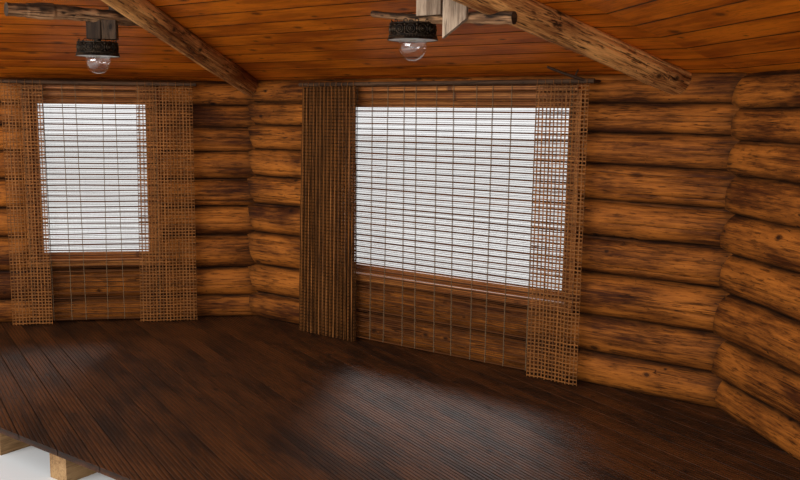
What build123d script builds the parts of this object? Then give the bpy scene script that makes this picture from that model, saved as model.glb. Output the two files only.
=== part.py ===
"""Window bay of an eight-sided log cabin: three log walls, floor, roof, windows, blinds and lamps.

Millimetres, +Z up, +X to the right for someone in the room who faces the middle wall, +Y outdoors.
The origin is the middle of the base. Heights in the first sections are taken from the floor's top.
"""
import os
from math import cos, radians, sin, sqrt, tan

from build123d import *

# Room: one side of the octagon is measured along the groove line between the logs
room_side = 3790
wall_turn = 45
course_heights = (214, 236, 272, 233, 225, 220, 194, 179, 176)
side_wall_drop = 28
groove_depth_from_axis = 85
sill_log_height = 250
sill_below_floor = 160
log_end_past_corner = 430
scribe_gap = 0.3

# Floor
floor_board = 32
joist_width = 140
joist_spacing = 600

# Roof
ceiling_below_top_groove = 4
roof_rise_per_metre = 252
ceiling_board = 28
roof_board = 28
roof_board_width = 200
roof_batten_width = 60
roof_batten_height = 22
eaves_past_groove = 540
rafter_diameter = 172
rafter_axis_below_ceiling = 45
rafter_foot_housing = 60
right_rafter_inset = 340

# Windows
window_bottom = 515
window_top = 1785
lining = 40
casing_width = 60
casing_thickness = 22
casing_back = 40
sash_width = 45
sash_depth = 40
sash_from_groove = 0
glass_thickness = 6
window_sill_thickness = 30
window_sill_reach = 85
centre_window_left_of_middle = 37.5
centre_window_width = 1925
left_window_from_corner = 788
left_window_width = 905
lining_outer_face = 205
outer_casing_width = 95
outer_casing_thickness = 24

# Blinds
blind_thickness = 8
blind_face = 100
blind_bottom = 30
blind_past_window = 50
headboard_height = 50
headboard_above_window = 65

# Curtains
rod_diameter = 30
rod_below_ceiling = 45
rod_from_groove = 150
peg_diameter = 22
curtain_hem = 12
pleated_thickness = 60
flat_thickness = 24
centre_left_curtain_width = 505
centre_left_curtain_over_window = 300
centre_right_curtain_width = 350
centre_right_curtain_over_window = 200
side_near_curtain_width = 428
side_near_curtain_over_window = 94
side_far_curtain_width = 300
side_far_curtain_over_window = 125

# Lamps
lamp_housing_diameter = 240
lamp_housing_height = 68
lamp_rim_diameter = 260
lamp_rim_height = 17
lamp_neck_diameter = 44
lamp_neck_height = 18
globe_diameter = 146
globe_wall = 3
globe_seat_above_rim = 24
globe_centre_below_rim = 30
left_pole_diameter = 90
left_pole_along_rafter = 1560
left_pole_heading = 104
left_pole_length = 900
left_lamp_along_pole = 385
lamp_block_width = 175
lamp_block_height = 136
lamp_block_thickness = 90
lamp_block_shift = 33
right_pole_root_diameter = 66
right_pole_tip_diameter = 32
right_pole_along_rafter = 1480
right_pole_below_rafter_axis = 90
right_pole_past_rafter = 110
right_pole_length = 840
right_pole_rise = 60
right_lamp_along_pole = 577
post_thickness = 25
straight_post_place = 54
straight_post_width = 145
straight_post_foot_below_pole = 10
slanting_post_place = 211
slanting_post_width = 135
slanting_post_foot_below_pole = 126
slanting_post_foot_rise = 88

# Places worked out from the sizes above
floor_z = sill_below_floor
half_turn = radians(wall_turn / 2)
turn = radians(wall_turn)
front_depth = room_side * sin(turn)
wall_y = (front_depth - eaves_past_groove) / 2
front_y = wall_y - front_depth
inradius = room_side / 2 / tan(half_turn)
ceiling_height_at_wall = sum(course_heights) - ceiling_below_top_groove
rafter_axis_height = ceiling_height_at_wall - rafter_axis_below_ceiling
rod_height = ceiling_height_at_wall - rod_below_ceiling
rise = roof_rise_per_metre / 1000
hip_rise = rise * cos(half_turn)
far = 12000

centre_wall = Location((-room_side / 2, wall_y, floor_z))
left_wall = Location((-room_side / 2, wall_y, floor_z), (0, 0, wall_turn))
right_wall = Location((room_side / 2, wall_y, floor_z), (0, 0, -wall_turn))

os.makedirs("parts", exist_ok=True)


def save(shape, node):
    """Write one node as a STEP file."""
    export_step(shape, f"parts/{node}.step")


def solids_of(shapes):
    """Gather every solid of some shapes in one compound."""
    return Compound(children=[solid for shape in shapes for solid in shape.solids()])


def block(u0, u1, v0, v1, z0, z1):
    """A box between two corners, in a wall's own directions."""
    middle = Pos((u0 + u1) / 2, (v0 + v1) / 2, (z0 + z1) / 2)
    return middle * Box(abs(u1 - u0), abs(v1 - v0), abs(z1 - z0))


# Log courses: each log meets the one below along the same groove line
def courses(drop):
    """Middle height and radius of each log, the sill log first."""
    edges = [-sill_log_height, 0]
    for height in course_heights:
        edges.append(edges[-1] + height)
    edges = edges[:2] + [edge - drop for edge in edges[2:]]
    rounds = []
    for low, high in zip(edges, edges[1:]):
        rounds.append(((low + high) / 2, sqrt(((high - low) / 2) ** 2 + groove_depth_from_axis**2)))
    return rounds


centre_courses = courses(0)
side_courses = courses(side_wall_drop)


def log(wall, course, u0, u1, extra=0.0):
    """A round log along a wall."""
    middle_z, radius = course
    place = Pos((u0 + u1) / 2, groove_depth_from_axis, middle_z)
    return wall * place * Cylinder(radius + extra, u1 - u0, rotation=(0, 90, 0))


# Roof slopes: three sides of a pyramid that would meet over the middle of the room
def under_roof_height(distance_outside, lift=0.0):
    """Height of the ceiling's underside at a distance outside the groove line."""
    return ceiling_height_at_wall - rise * distance_outside + lift


def slope_slab(wall, u_corner, other_corner, lift, thickness):
    """One roof slope, as seen in its wall's directions and cut by the hips' upright planes."""
    eaves_v = eaves_past_groove
    inner_v = -inradius
    widen = tan(half_turn)
    corners = [
        (u_corner - eaves_v * widen, eaves_v),
        (other_corner + eaves_v * widen, eaves_v),
        ((u_corner + other_corner) / 2, inner_v),
    ]
    low = [(u, v, under_roof_height(v, lift)) for u, v in corners]
    face = Face(Wire.make_polygon([Vector(*point) for point in low], close=True))
    slab = extrude(face, amount=thickness, dir=(0, 0, 1))
    return wall * slab


front_waste = Pos(0, front_y - far / 2, 0) * Box(2 * far, far, 2 * far)

slope_walls = {
    "centre": (centre_wall, 0, room_side),
    "left": (left_wall, -room_side, 0),
    "right": (right_wall, 0, room_side),
}


def slopes(lift, thickness):
    """The three slopes of one layer, cut at the open front."""
    made = {}
    for name, (wall, low_u, high_u) in slope_walls.items():
        made[name] = slope_slab(wall, low_u, high_u, lift, thickness) - front_waste
    return made


def between_battens(name):
    """What lies between the battens of one slope, above its boards."""
    wall, low_u, high_u = slope_walls[name]
    first = int((low_u - eaves_past_groove) / roof_board_width) - 1
    last = int((high_u + eaves_past_groove) / roof_board_width) + 1
    gaps = []
    for board in range(first, last + 1):
        u0 = board * roof_board_width + roof_batten_width / 2
        u1 = (board + 1) * roof_board_width - roof_batten_width / 2
        corners = [(u, v) for u, v in ((u0, far / 10), (u1, far / 10), (u1, -far / 2), (u0, -far / 2))]
        low = [Vector(u, v, under_roof_height(v, ceiling_board + roof_board)) for u, v in corners]
        face = Face(Wire.make_polygon(low, close=True))
        gaps.append(wall * extrude(face, amount=2 * roof_batten_height, dir=(0, 0, 1)))
    return gaps


ceilings = slopes(0, ceiling_board)
roofs = slopes(ceiling_board, roof_board + roof_batten_height)
for name in roofs:
    roofs[name] -= between_battens(name)
over_ceiling = slopes(0, far / 10)

# Rafters: round logs whose feet are housed in the top logs
corner_left = Vector(-room_side / 2, wall_y, floor_z + rafter_axis_height)
foot_right = Vector(room_side / 2 - right_rafter_inset, wall_y, floor_z + rafter_axis_height)
peak_plan = Vector(0, wall_y - inradius, 0)


def rafter_line(foot):
    """Unit direction of a rafter that climbs towards the middle of the room."""
    run = Vector(peak_plan.X - foot.X, peak_plan.Y - foot.Y, 0)
    climb = inradius / cos(half_turn) * hip_rise
    return Vector(run.X, run.Y, climb).normalized()


def round_pole(start, end, diameter):
    """A round bar between two points."""
    axis = end - start
    return Plane(origin=start, z_dir=axis) * Cylinder(
        diameter / 2, axis.length, align=(Align.CENTER, Align.CENTER, Align.MIN)
    )


def rafter(foot, extra=0.0):
    """A rafter with the housed foot, as long as the open front allows."""
    line = rafter_line(foot)
    start = foot - line * rafter_foot_housing
    end = foot + line * (front_depth / abs(line.Y) + rafter_diameter)
    return round_pole(start, end, rafter_diameter + 2 * extra)


rafter_housings = [rafter(corner_left, scribe_gap), rafter(foot_right, scribe_gap)]


def trimmed_rafter(foot):
    """A rafter that is planed on top to the ceiling and cut at the open front."""
    body = rafter(foot) - front_waste
    for upper in over_ceiling.values():
        body -= upper
    return max(body.solids(), key=lambda solid: solid.volume)


save(trimmed_rafter(corner_left), "rafter_left")
save(trimmed_rafter(foot_right), "rafter_right")
for side in ("left", "centre", "right"):
    save(ceilings[side], f"ceiling_{side}")
    save(roofs[side], f"roof_{side}")

# Window places: (wall, low u, high u) of the clear opening between the linings
centre_window_middle = room_side / 2 - centre_window_left_of_middle
centre_window = (
    centre_wall,
    centre_window_middle - centre_window_width / 2,
    centre_window_middle + centre_window_width / 2,
)
left_window = (left_wall, -left_window_from_corner - left_window_width, -left_window_from_corner)


def window_cut(window):
    """What the wall loses: the opening with its lining, and a flat seat for the casing."""
    wall, u0, u1 = window
    out = lining + scribe_gap
    edge = casing_width + scribe_gap
    opening = block(u0 - out, u1 + out, -far / 10, far / 10, window_bottom - out, window_top + out)
    seat = block(
        u0 - edge, u1 + edge, -far / 10, scribe_gap - casing_back, window_bottom - edge, window_top + edge
    )
    edge = outer_casing_width + scribe_gap
    outer_seat = block(
        u0 - edge,
        u1 + edge,
        lining_outer_face - scribe_gap,
        far / 10,
        window_bottom - edge,
        window_top + edge,
    )
    return wall * (opening + seat + outer_seat)


centre_window_hole = window_cut(centre_window)
left_window_hole = window_cut(left_window)

# Floor: boards on joists, let into a rebate of the sill logs
far_left_x = -room_side / 2 - room_side * cos(turn)
floor_outline = [
    (-room_side / 2, wall_y - scribe_gap),
    (room_side / 2, wall_y - scribe_gap),
    (-far_left_x, front_y),
    (far_left_x, front_y),
]
floor_face = Face(Wire.make_polygon([Vector(x, y, floor_z) for x, y in floor_outline], close=True))
floor_deck = extrude(floor_face, amount=floor_board, dir=(0, 0, -1))
floor_rebate = offset(floor_face, amount=scribe_gap)
floor_rebate = extrude(floor_rebate, amount=floor_board + scribe_gap, dir=(0, 0, -1))
save(floor_deck, "floor_deck")

ground_waste = Pos(0, 0, -far / 2) * Box(2 * far, 2 * far, far)

# Centre wall: its logs run past both corners
centre_logs = []
for index, course in enumerate(centre_courses):
    body = log(centre_wall, course, -log_end_past_corner, room_side + log_end_past_corner)
    if index == 0:
        body -= ground_waste
        body -= floor_rebate
    else:
        body -= log(centre_wall, centre_courses[index - 1], -far / 2, far, scribe_gap)
    body -= centre_window_hole
    if index >= len(centre_courses) - 2:
        for housing in rafter_housings:
            body -= housing
        for upper in over_ceiling.values():
            body -= upper
    centre_logs.append(body)
    name = "centre_wall_sill_log" if index == 0 else f"centre_wall_log_{index}"
    save(solids_of([body]), name)

# Side walls: their logs are scribed against the centre wall's logs
past_axis_waste = Pos(0, wall_y + groove_depth_from_axis + far / 2, 0) * Box(2 * far, far, 2 * far)


def side_log(wall, index, u0, u1):
    """One log of a side wall, from the centre wall to the open front."""
    body = log(wall, side_courses[index], u0, u1)
    if index == 0:
        body -= ground_waste
        body -= floor_rebate
    else:
        body -= log(wall, side_courses[index - 1], -far, far, scribe_gap)
    body -= front_waste
    body -= past_axis_waste
    for other in range(max(index - 1, 0), min(index + 2, len(centre_courses))):
        body -= log(centre_wall, centre_courses[other], -far / 2, far, scribe_gap)
    if wall is left_wall:
        body -= left_window_hole
    if index >= len(side_courses) - 2:
        body -= rafter_housings[0]
        for upper in over_ceiling.values():
            body -= upper
    return body


reach_front = room_side + 2 * log_end_past_corner
for index in range(len(side_courses)):
    left = side_log(left_wall, index, -reach_front, log_end_past_corner)
    right = side_log(right_wall, index, -log_end_past_corner, reach_front)
    name = "side_wall_sill_logs" if index == 0 else f"side_wall_logs_{index}"
    save(solids_of([left, right]), name)

# Joists: from the sill logs to the open front
joist_top = floor_z - floor_board
sill_logs = [
    log(wall, centre_courses[0], -far / 2, far, scribe_gap)
    for wall in (centre_wall, left_wall, right_wall)
]
joists = []
joists_each_side = int((-far_left_x - joist_width - groove_depth_from_axis) / joist_spacing)
for index in range(-joists_each_side, joists_each_side + 1):
    joist = Pos(index * joist_spacing, (wall_y + front_y) / 2, joist_top / 2) * Box(
        joist_width, front_depth, joist_top
    )
    for sill in sill_logs:
        joist -= sill
    joists.append(min(joist.solids(), key=lambda solid: solid.center().Y))
save(solids_of(joists), "floor_joists")


# Windows
def window_frame(window):
    """Lining, sash, inner and outer casings and sill board of one window."""
    wall, u0, u1 = window
    z0, z1 = window_bottom, window_top
    face = -casing_back - casing_thickness
    shell = block(u0 - lining, u1 + lining, -casing_back, lining_outer_face, z0 - lining, z1 + lining)
    shell += block(
        u0 - casing_width, u1 + casing_width, face, -casing_back, z0 - casing_width, z1 + casing_width
    )
    shell += block(
        u0 - outer_casing_width,
        u1 + outer_casing_width,
        lining_outer_face,
        lining_outer_face + outer_casing_thickness,
        z0 - outer_casing_width,
        z1 + outer_casing_width,
    )
    shell -= block(u0, u1, -far / 10, far / 10, z0, z1)
    sash = block(u0, u1, sash_from_groove, sash_from_groove + sash_depth, z0, z1)
    sash -= block(
        u0 + sash_width, u1 - sash_width, -far / 10, far / 10, z0 + sash_width, z1 - sash_width
    )
    sill = block(
        u0 - casing_width, u1 + casing_width, -window_sill_reach, face, z0 - window_sill_thickness, z0
    )
    return wall * (shell + sash + sill)


def window_glass(window):
    """One pane that fills the sash."""
    wall, u0, u1 = window
    fit = sash_width + scribe_gap
    middle = sash_from_groove + sash_depth / 2
    return wall * block(
        u0 + fit,
        u1 - fit,
        middle - glass_thickness / 2,
        middle + glass_thickness / 2,
        window_bottom + fit,
        window_top - fit,
    )


def window_blind(window, top_log):
    """A blind with its headboard, which is scribed to the top log."""
    wall, u0, u1 = window
    low, high = u0 - blind_past_window, u1 + blind_past_window
    head_z = window_top + headboard_above_window
    head = block(low, high, -blind_face + blind_thickness, 0, head_z, head_z + headboard_height)
    sheet = block(
        low, high, -blind_face, -blind_face + blind_thickness, blind_bottom, head_z + headboard_height
    )
    return wall * (head + sheet) - top_log


top_logs = {
    "centre": log(centre_wall, centre_courses[-1], -far / 2, far, scribe_gap),
    "left": log(left_wall, side_courses[-1], -far, far / 2, scribe_gap),
}
for name, window in (("centre", centre_window), ("left", left_window)):
    save(window_frame(window), f"{name}_window_frame")
    save(window_glass(window), f"{name}_window_glass")
    save(window_blind(window, top_logs[name]), f"{name}_window_blind")


# Curtains and their rods
def curtain(wall, u0, u1, thickness, hem):
    """A soft curtain as a plain upright slab below its rod."""
    top = rod_height - rod_diameter / 2 - scribe_gap
    return wall * block(
        u0, u1, -rod_from_groove - thickness / 2, -rod_from_groove + thickness / 2, hem, top
    )


def curtain_rod(wall, u0, u1, peg_places, top_log):
    """A straight rod, clear of the rafters, on pegs that are scribed to the top log."""
    rod = Pos((u0 + u1) / 2, -rod_from_groove, rod_height) * Cylinder(
        rod_diameter / 2, u1 - u0, rotation=(0, 90, 0)
    )
    for u in peg_places:
        peg_length = rod_from_groove + rod_below_ceiling
        peg = Pos(u, peg_length / 2 - rod_from_groove, rod_height) * Cylinder(
            peg_diameter / 2, peg_length, rotation=(90, 0, 0)
        )
        rod += peg
    return wall * rod - top_log - rafter_housings


window_u0, window_u1 = centre_window[1], centre_window[2]
left_curtain_u1 = window_u0 + centre_left_curtain_over_window
left_curtain_u0 = left_curtain_u1 - centre_left_curtain_width
right_curtain_u0 = window_u1 - centre_right_curtain_over_window
right_curtain_u1 = right_curtain_u0 + centre_right_curtain_width
save(
    curtain(centre_wall, left_curtain_u0, left_curtain_u1, pleated_thickness, curtain_hem),
    "centre_window_left_curtain",
)
save(
    curtain(centre_wall, right_curtain_u0, right_curtain_u1, flat_thickness, curtain_hem),
    "centre_window_right_curtain",
)
rod_u0 = left_curtain_u0 - rod_diameter
rod_u1 = right_curtain_u1 + rod_diameter
save(
    curtain_rod(
        centre_wall,
        rod_u0,
        rod_u1,
        (rod_u0 + peg_diameter, rod_u1 - peg_diameter),
        top_logs["centre"],
    ),
    "centre_window_rod",
)

near_curtain_u0 = left_window[2] - side_near_curtain_over_window
near_curtain_u1 = near_curtain_u0 + side_near_curtain_width
far_curtain_u1 = left_window[1] + side_far_curtain_over_window
far_curtain_u0 = far_curtain_u1 - side_far_curtain_width
save(
    curtain(left_wall, near_curtain_u0, near_curtain_u1, flat_thickness, curtain_hem),
    "left_window_near_curtain",
)
save(
    curtain(left_wall, far_curtain_u0, far_curtain_u1, flat_thickness, curtain_hem),
    "left_window_far_curtain",
)
side_rod_u0 = far_curtain_u0 - rod_diameter
side_rod_u1 = near_curtain_u1 + rod_diameter
save(
    curtain_rod(
        left_wall,
        side_rod_u0,
        side_rod_u1,
        (side_rod_u0 + peg_diameter, side_rod_u1 - peg_diameter),
        top_logs["left"],
    ),
    "left_window_rod",
)


# Lamps
left_line = rafter_line(corner_left)
right_line = rafter_line(foot_right)
left_socket = corner_left + left_line * left_pole_along_rafter
right_socket = foot_right + right_line * right_pole_along_rafter
left_pole_line = Vector(cos(radians(left_pole_heading)), -sin(radians(left_pole_heading)), 0)
left_pole_end = left_socket + left_pole_line * left_pole_length
right_slope = right_pole_rise / right_pole_length
right_pole_start = right_socket + Vector(
    right_pole_past_rafter, 0, -right_pole_below_rafter_axis - right_slope * right_pole_past_rafter
)
right_pole_end = right_pole_start + Vector(-right_pole_length, 0, right_pole_rise)
left_lamp_at = left_socket + left_pole_line * left_lamp_along_pole
left_block_at = left_lamp_at - left_pole_line * lamp_block_shift
right_lamp_at = right_pole_start + (right_pole_end - right_pole_start) * (
    right_lamp_along_pole / right_pole_length
)


def right_pole_radius(along):
    """Radius of the right pole, which tapers to its tip."""
    share = along / right_pole_length
    return (right_pole_root_diameter * (1 - share) + right_pole_tip_diameter * share) / 2


def left_pole_body(extra=0.0):
    """The thick pole of the left lamp."""
    return round_pole(left_socket, left_pole_end, left_pole_diameter + 2 * extra)


def right_pole_body(extra=0.0):
    """The tapering pole of the right lamp."""
    axis = right_pole_end - right_pole_start
    return Plane(origin=right_pole_start, z_dir=axis) * Cone(
        right_pole_radius(0) + extra,
        right_pole_radius(right_pole_length) + extra,
        axis.length,
        align=(Align.CENTER, Align.CENTER, Align.MIN),
    )


def largest(body):
    """The main solid of a cut body."""
    return max(body.solids(), key=lambda solid: solid.volume)


save(largest(left_pole_body() - rafter(corner_left, scribe_gap)), "left_lamp_pole")
save(largest(right_pole_body() - rafter(foot_right, scribe_gap)), "right_lamp_pole")

left_block = Location((left_block_at.X, left_block_at.Y, left_block_at.Z), (0, 0, wall_turn)) * block(
    -lamp_block_width / 2,
    lamp_block_width / 2,
    -lamp_block_thickness / 2,
    lamp_block_thickness / 2,
    -lamp_block_height,
    -left_pole_diameter / 4,
)
save(largest(left_block - left_pole_body(scribe_gap)), "left_lamp_block")


def lamp_housing(neck_reach):
    """Round housing with a neck and a flared rim, open below, the housing's top at the origin."""
    rim_r = lamp_rim_diameter / 2
    body_r = lamp_housing_diameter / 2
    low = -lamp_housing_height - lamp_rim_height
    throat = globe_diameter / 2 + 2 * globe_wall
    neck_r = lamp_neck_diameter / 2
    profile = [
        (0, lamp_neck_height + neck_reach),
        (neck_r, lamp_neck_height + neck_reach),
        (neck_r, 0),
        (body_r, 0),
        (body_r, -lamp_housing_height),
        (rim_r, low + globe_wall),
        (rim_r, low),
        (throat, low + lamp_rim_height / 2),
        (throat, low + globe_seat_above_rim),
        (0, low + globe_seat_above_rim),
    ]
    face = Face(Wire.make_polygon([Vector(x, 0, z) for x, z in profile], close=True))
    return revolve(face, axis=Axis.Z)


def lamp_globe():
    """A round glass bowl whose open top is held in the housing."""
    outer_r = globe_diameter / 2
    rim_z = -lamp_housing_height - lamp_rim_height
    seat_z = rim_z + globe_seat_above_rim - scribe_gap
    bowl = Pos(0, 0, rim_z - globe_centre_below_rim) * (Sphere(outer_r) - Sphere(outer_r - globe_wall))
    return bowl - block(-outer_r, outer_r, -outer_r, outer_r, seat_z, far / 10)


left_lamp = Pos(
    left_lamp_at.X, left_lamp_at.Y, left_lamp_at.Z - lamp_block_height - lamp_neck_height - scribe_gap
)
right_lamp = Pos(
    right_lamp_at.X,
    right_lamp_at.Y,
    right_lamp_at.Z - right_pole_radius(right_lamp_along_pole) - lamp_neck_height,
)
left_housing = left_lamp * lamp_housing(0)
right_housing = largest(
    right_lamp * lamp_housing(right_pole_radius(right_lamp_along_pole)) - right_pole_body(scribe_gap)
)
save(solids_of([left_housing, right_housing]), "lamp_housings")
save(solids_of([left_lamp * lamp_globe(), right_lamp * lamp_globe()]), "lamp_globes")

# Posts of the right lamp: boards that hang from the ceiling before the pole
post_back = right_pole_radius(right_lamp_along_pole - slanting_post_place - slanting_post_width) + scribe_gap
posts = []
for place, width, drop, foot in (
    (straight_post_place, straight_post_width, straight_post_foot_below_pole, 0),
    (slanting_post_place, slanting_post_width, slanting_post_foot_below_pole, slanting_post_foot_rise),
):
    low_corner = Pos(right_lamp_at.X + place, right_lamp_at.Y, right_lamp_at.Z - drop)
    post = low_corner * block(0, width, -post_back - post_thickness, -post_back, 0, far / 10)
    if foot:
        wedge = Face(
            Wire.make_polygon([Vector(0, 0, 0), Vector(width, 0, 0), Vector(width, 0, foot)], close=True)
        )
        post -= low_corner * extrude(wedge, amount=far / 20, dir=(0, 1, 0), both=True)
    for upper in over_ceiling.values():
        post -= upper
    posts.append(largest(post - rafter(foot_right, scribe_gap)))
save(solids_of(posts), "right_lamp_posts")
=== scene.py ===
"""Looks of the window bay of a log cabin: logs, boards, windows, blinds, curtains and lamps."""
from math import acos, asin, ceil, cos, hypot, pi, radians, sin, sqrt, tan

import bpy
import numpy as np
from bpy.props import FloatProperty, FloatVectorProperty, IntProperty, PointerProperty
from mathutils import Matrix


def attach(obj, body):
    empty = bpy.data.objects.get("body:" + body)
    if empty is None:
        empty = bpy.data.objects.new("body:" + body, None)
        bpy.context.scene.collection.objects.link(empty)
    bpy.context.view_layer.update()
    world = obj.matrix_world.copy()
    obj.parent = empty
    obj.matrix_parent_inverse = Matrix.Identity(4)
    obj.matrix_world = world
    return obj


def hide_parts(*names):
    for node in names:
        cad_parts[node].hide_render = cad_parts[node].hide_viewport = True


bl_info = {
    "name": "Log cabin window bay",
    "version": (1, 0, 0),
    "blender": (4, 5, 0),
    "location": "View3D > Sidebar > Cabin",
    "description": "Builds the logs, boards, windows, blinds, curtains and lamps of a log cabin bay",
    "category": "Add Mesh",
}

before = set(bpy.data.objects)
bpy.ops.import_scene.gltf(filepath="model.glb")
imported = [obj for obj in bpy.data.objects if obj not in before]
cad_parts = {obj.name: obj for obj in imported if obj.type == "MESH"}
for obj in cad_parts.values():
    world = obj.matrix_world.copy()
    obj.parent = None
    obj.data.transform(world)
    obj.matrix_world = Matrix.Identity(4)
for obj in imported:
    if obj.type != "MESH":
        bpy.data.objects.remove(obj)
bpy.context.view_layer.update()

# Sizes of the part in metres, with heights from the floor's top
room_side = 3.790
wall_turn = radians(45)
course_heights = (0.214, 0.236, 0.272, 0.233, 0.225, 0.220, 0.194, 0.179, 0.176)
side_wall_drop = 0.028
groove_depth = 0.085
sill_log_height = 0.250
floor_z = 0.160
log_end_past_corner = 0.430
floor_thickness = 0.032
ceiling_height = sum(course_heights) - 0.004
roof_rise = 0.252
ceiling_thickness = 0.028
roof_board_thickness = 0.028
roof_board_width = 0.200
roof_batten_width = 0.060
roof_batten_height = 0.022
eaves = 0.540
rafter_radius = 0.086
rafter_height = ceiling_height - 0.045
rafter_foot_housing = 0.060
right_rafter_inset = 0.340
window_bottom = 0.515
window_top = 1.785
lining = 0.040
casing_width = 0.060
casing_back = 0.040
casing_thickness = 0.022
outer_casing_width = 0.095
lining_outer_face = 0.205
outer_casing_thickness = 0.024
sill_board_face = 0.085
sill_board_back = 0.060
sill_board_height = 0.030
sash_from_groove = 0.0
sash_width = 0.045
sash_depth = 0.040
blind_face = 0.100
blind_thickness = 0.008
blind_bottom = 0.030
blind_past_window = 0.050
headboard_bottom = window_top + 0.065
headboard_height = 0.050
rod_height = ceiling_height - 0.045
rod_from_groove = 0.150
rod_radius = 0.015
peg_radius = 0.011
curtain_hem = 0.012
housing_radius = 0.120
housing_height = 0.068
rim_height = 0.017
rim_radius = 0.130
neck_height = 0.018
globe_radius = 0.073
globe_below_rim = 0.030
globe_seat_above_rim = 0.024
fit_gap = 0.0003

# Places worked out from the sizes
front_depth = room_side * sin(wall_turn)
wall_y = (front_depth - eaves) / 2
front_y = wall_y - front_depth
inradius = room_side / 2 / tan(wall_turn / 2)
left_corner = (-room_side / 2, wall_y, floor_z)
right_corner = (room_side / 2, wall_y, floor_z)
upward = np.array([0.0, 0.0, 1.0])

# What a piece without knots says of its nearest one: far off
far_knot = (9.0, 9.0, 0.01)

# First seeds of the random draws
centre_log_seed = 100
left_log_seed = 200
right_log_seed = 300
rafter_seed = 400
blind_seed = 500
curtain_seed = 600
rod_seed = 620
peg_seed = 630
twig_seed = 641
shoot_seed = 643
pole_seed = 700
left_twist_seed = 711
right_twist_seed = 718


def unit(way):
    """A direction of length one."""
    return way / np.linalg.norm(way)


def level_way(angle):
    """Level unit direction at an angle."""
    return np.array([cos(angle), sin(angle), 0.0])


def level_left(angle):
    """Level unit direction a quarter turn to the left of an angle."""
    return np.array([-sin(angle), cos(angle), 0.0])


class Wall:
    """One wall's directions: u along its logs, v outdoors from the groove line, z from the floor."""

    def __init__(self, corner, turn):
        self.corner = np.array(corner)
        self.along, self.out = level_way(turn), level_left(turn)

    def place(self, u, v, z):
        """Points of the row frame."""
        u, v, z = (np.asarray(value, float)[..., None] for value in (u, v, z))
        return self.corner + u * self.along + v * self.out + z * upward


centre_wall = Wall(left_corner, 0.0)
left_wall = Wall(left_corner, wall_turn)
right_wall = Wall(right_corner, -wall_turn)
walls = (centre_wall, left_wall, right_wall)

# Windows and curtains: from where to where they reach along their walls
centre_window = (centre_wall, 0.895, 2.820)
left_window = (left_wall, -1.693, -0.788)
windows = {"centre": centre_window, "left": left_window}
pleated_span = (0.690, 1.195)
right_span = (2.620, 2.970)
near_span = (-0.882, -0.454)
far_span = (-1.868, -1.568)


def ceiling_z(points):
    """Height of the ceiling's underside over or under some points."""
    outside = np.max([(points - wall.corner) @ wall.out for wall in walls], axis=0)
    return floor_z + ceiling_height - roof_rise * outside


def linear(red, green, blue):
    """A colour as Blender wants it, from the values that a picture shows."""
    return tuple((value / 255 / 12.92) if value < 11 else ((value / 255 + 0.055) / 1.055) ** 2.4
                 for value in (red, green, blue))


def colour(title, red, green, blue):
    """A colour setting with its default."""
    return FloatVectorProperty(name=title, description=f"{title} of the wood, cane or reed",
                               subtype="COLOR", size=3, min=0, max=1, default=linear(red, green, blue))


def length(title, words, default):
    """A length setting in metres."""
    return FloatProperty(name=title, description=words, default=default, min=0.001, unit="LENGTH")


def amount(title, words, default):
    """A setting without a unit."""
    return FloatProperty(name=title, description=words, default=default, min=0)


class CabinLogSettings(bpy.types.PropertyGroup):
    """Sizes and colours of the logs."""
    ring_step: length("Ring step", "Distance between two rings of points along a log", 0.030)
    knot_spacing: length("Knot spacing", "Mean distance between two knots of a log", 0.300)
    check_depth: length("Check depth", "Depth of the long drying checks", 0.011)
    gnarl: amount("Gnarl", "How uneven the peeled logs are", 1.0)
    light: colour("Light streaks", 178, 103, 37)
    dark: colour("Dark streaks", 68, 32, 10)
    # Painted light: the rafters' streak colours are lighter than the wall logs' to stand in for the light
    # that falls on the rafters
    rafter_light: colour("Rafter light streaks", 250, 182, 106)
    rafter_dark: colour("Rafter dark streaks", 124, 66, 26)


class CabinBoardSettings(bpy.types.PropertyGroup):
    """Sizes and colours of the ceiling and floor boards."""
    ceiling_width: length("Ceiling board", "Width of a ceiling board", 0.180)
    floor_width: length("Floor board", "Width of a floor board", 0.132)
    floor_rib: length("Floor rib", "Distance between two ribs of a floor board", 0.022)
    ceiling_light: colour("Ceiling light", 214, 114, 22)
    ceiling_dark: colour("Ceiling dark", 146, 66, 8)
    floor_light: colour("Floor light", 92, 51, 20)
    floor_dark: colour("Floor dark", 40, 21, 8)


class CabinWindowSettings(bpy.types.PropertyGroup):
    """Blinds of the windows."""
    slat_step: length("Slat step", "Distance between two slats", 0.0143)
    cord_step: length("Cord step", "Mean distance between two cords of a blind", 0.135)
    cane: colour("Cane", 82, 46, 19)


class CabinCurtainSettings(bpy.types.PropertyGroup):
    """Woven reed curtains."""
    reed_step: length("Reed step", "Distance between two bundles of reed", 0.025)
    reed_width: length("Reed width", "Width of one reed", 0.0037)
    pleats: IntProperty(name="Pleats", description="Pleats of the pleated curtain", default=15, min=1)
    pleat_depth: length("Pleat depth", "Depth of one pleat", 0.048)
    reed: colour("Reed", 130, 80, 35)


class CabinStageSettings(bpy.types.PropertyGroup):
    """Camera and light."""
    front_power: amount("Front light", "Watts of the light before the open front", 560.0)
    sun: amount("Sun", "Strength of the soft sun behind the windows", 2.2)
    sky: amount("Sky", "Strength of the light all round", 0.55)
    lens: amount("Lens", "Focal length in millimetres, for a sensor 36 mm wide", 38.79)


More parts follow.
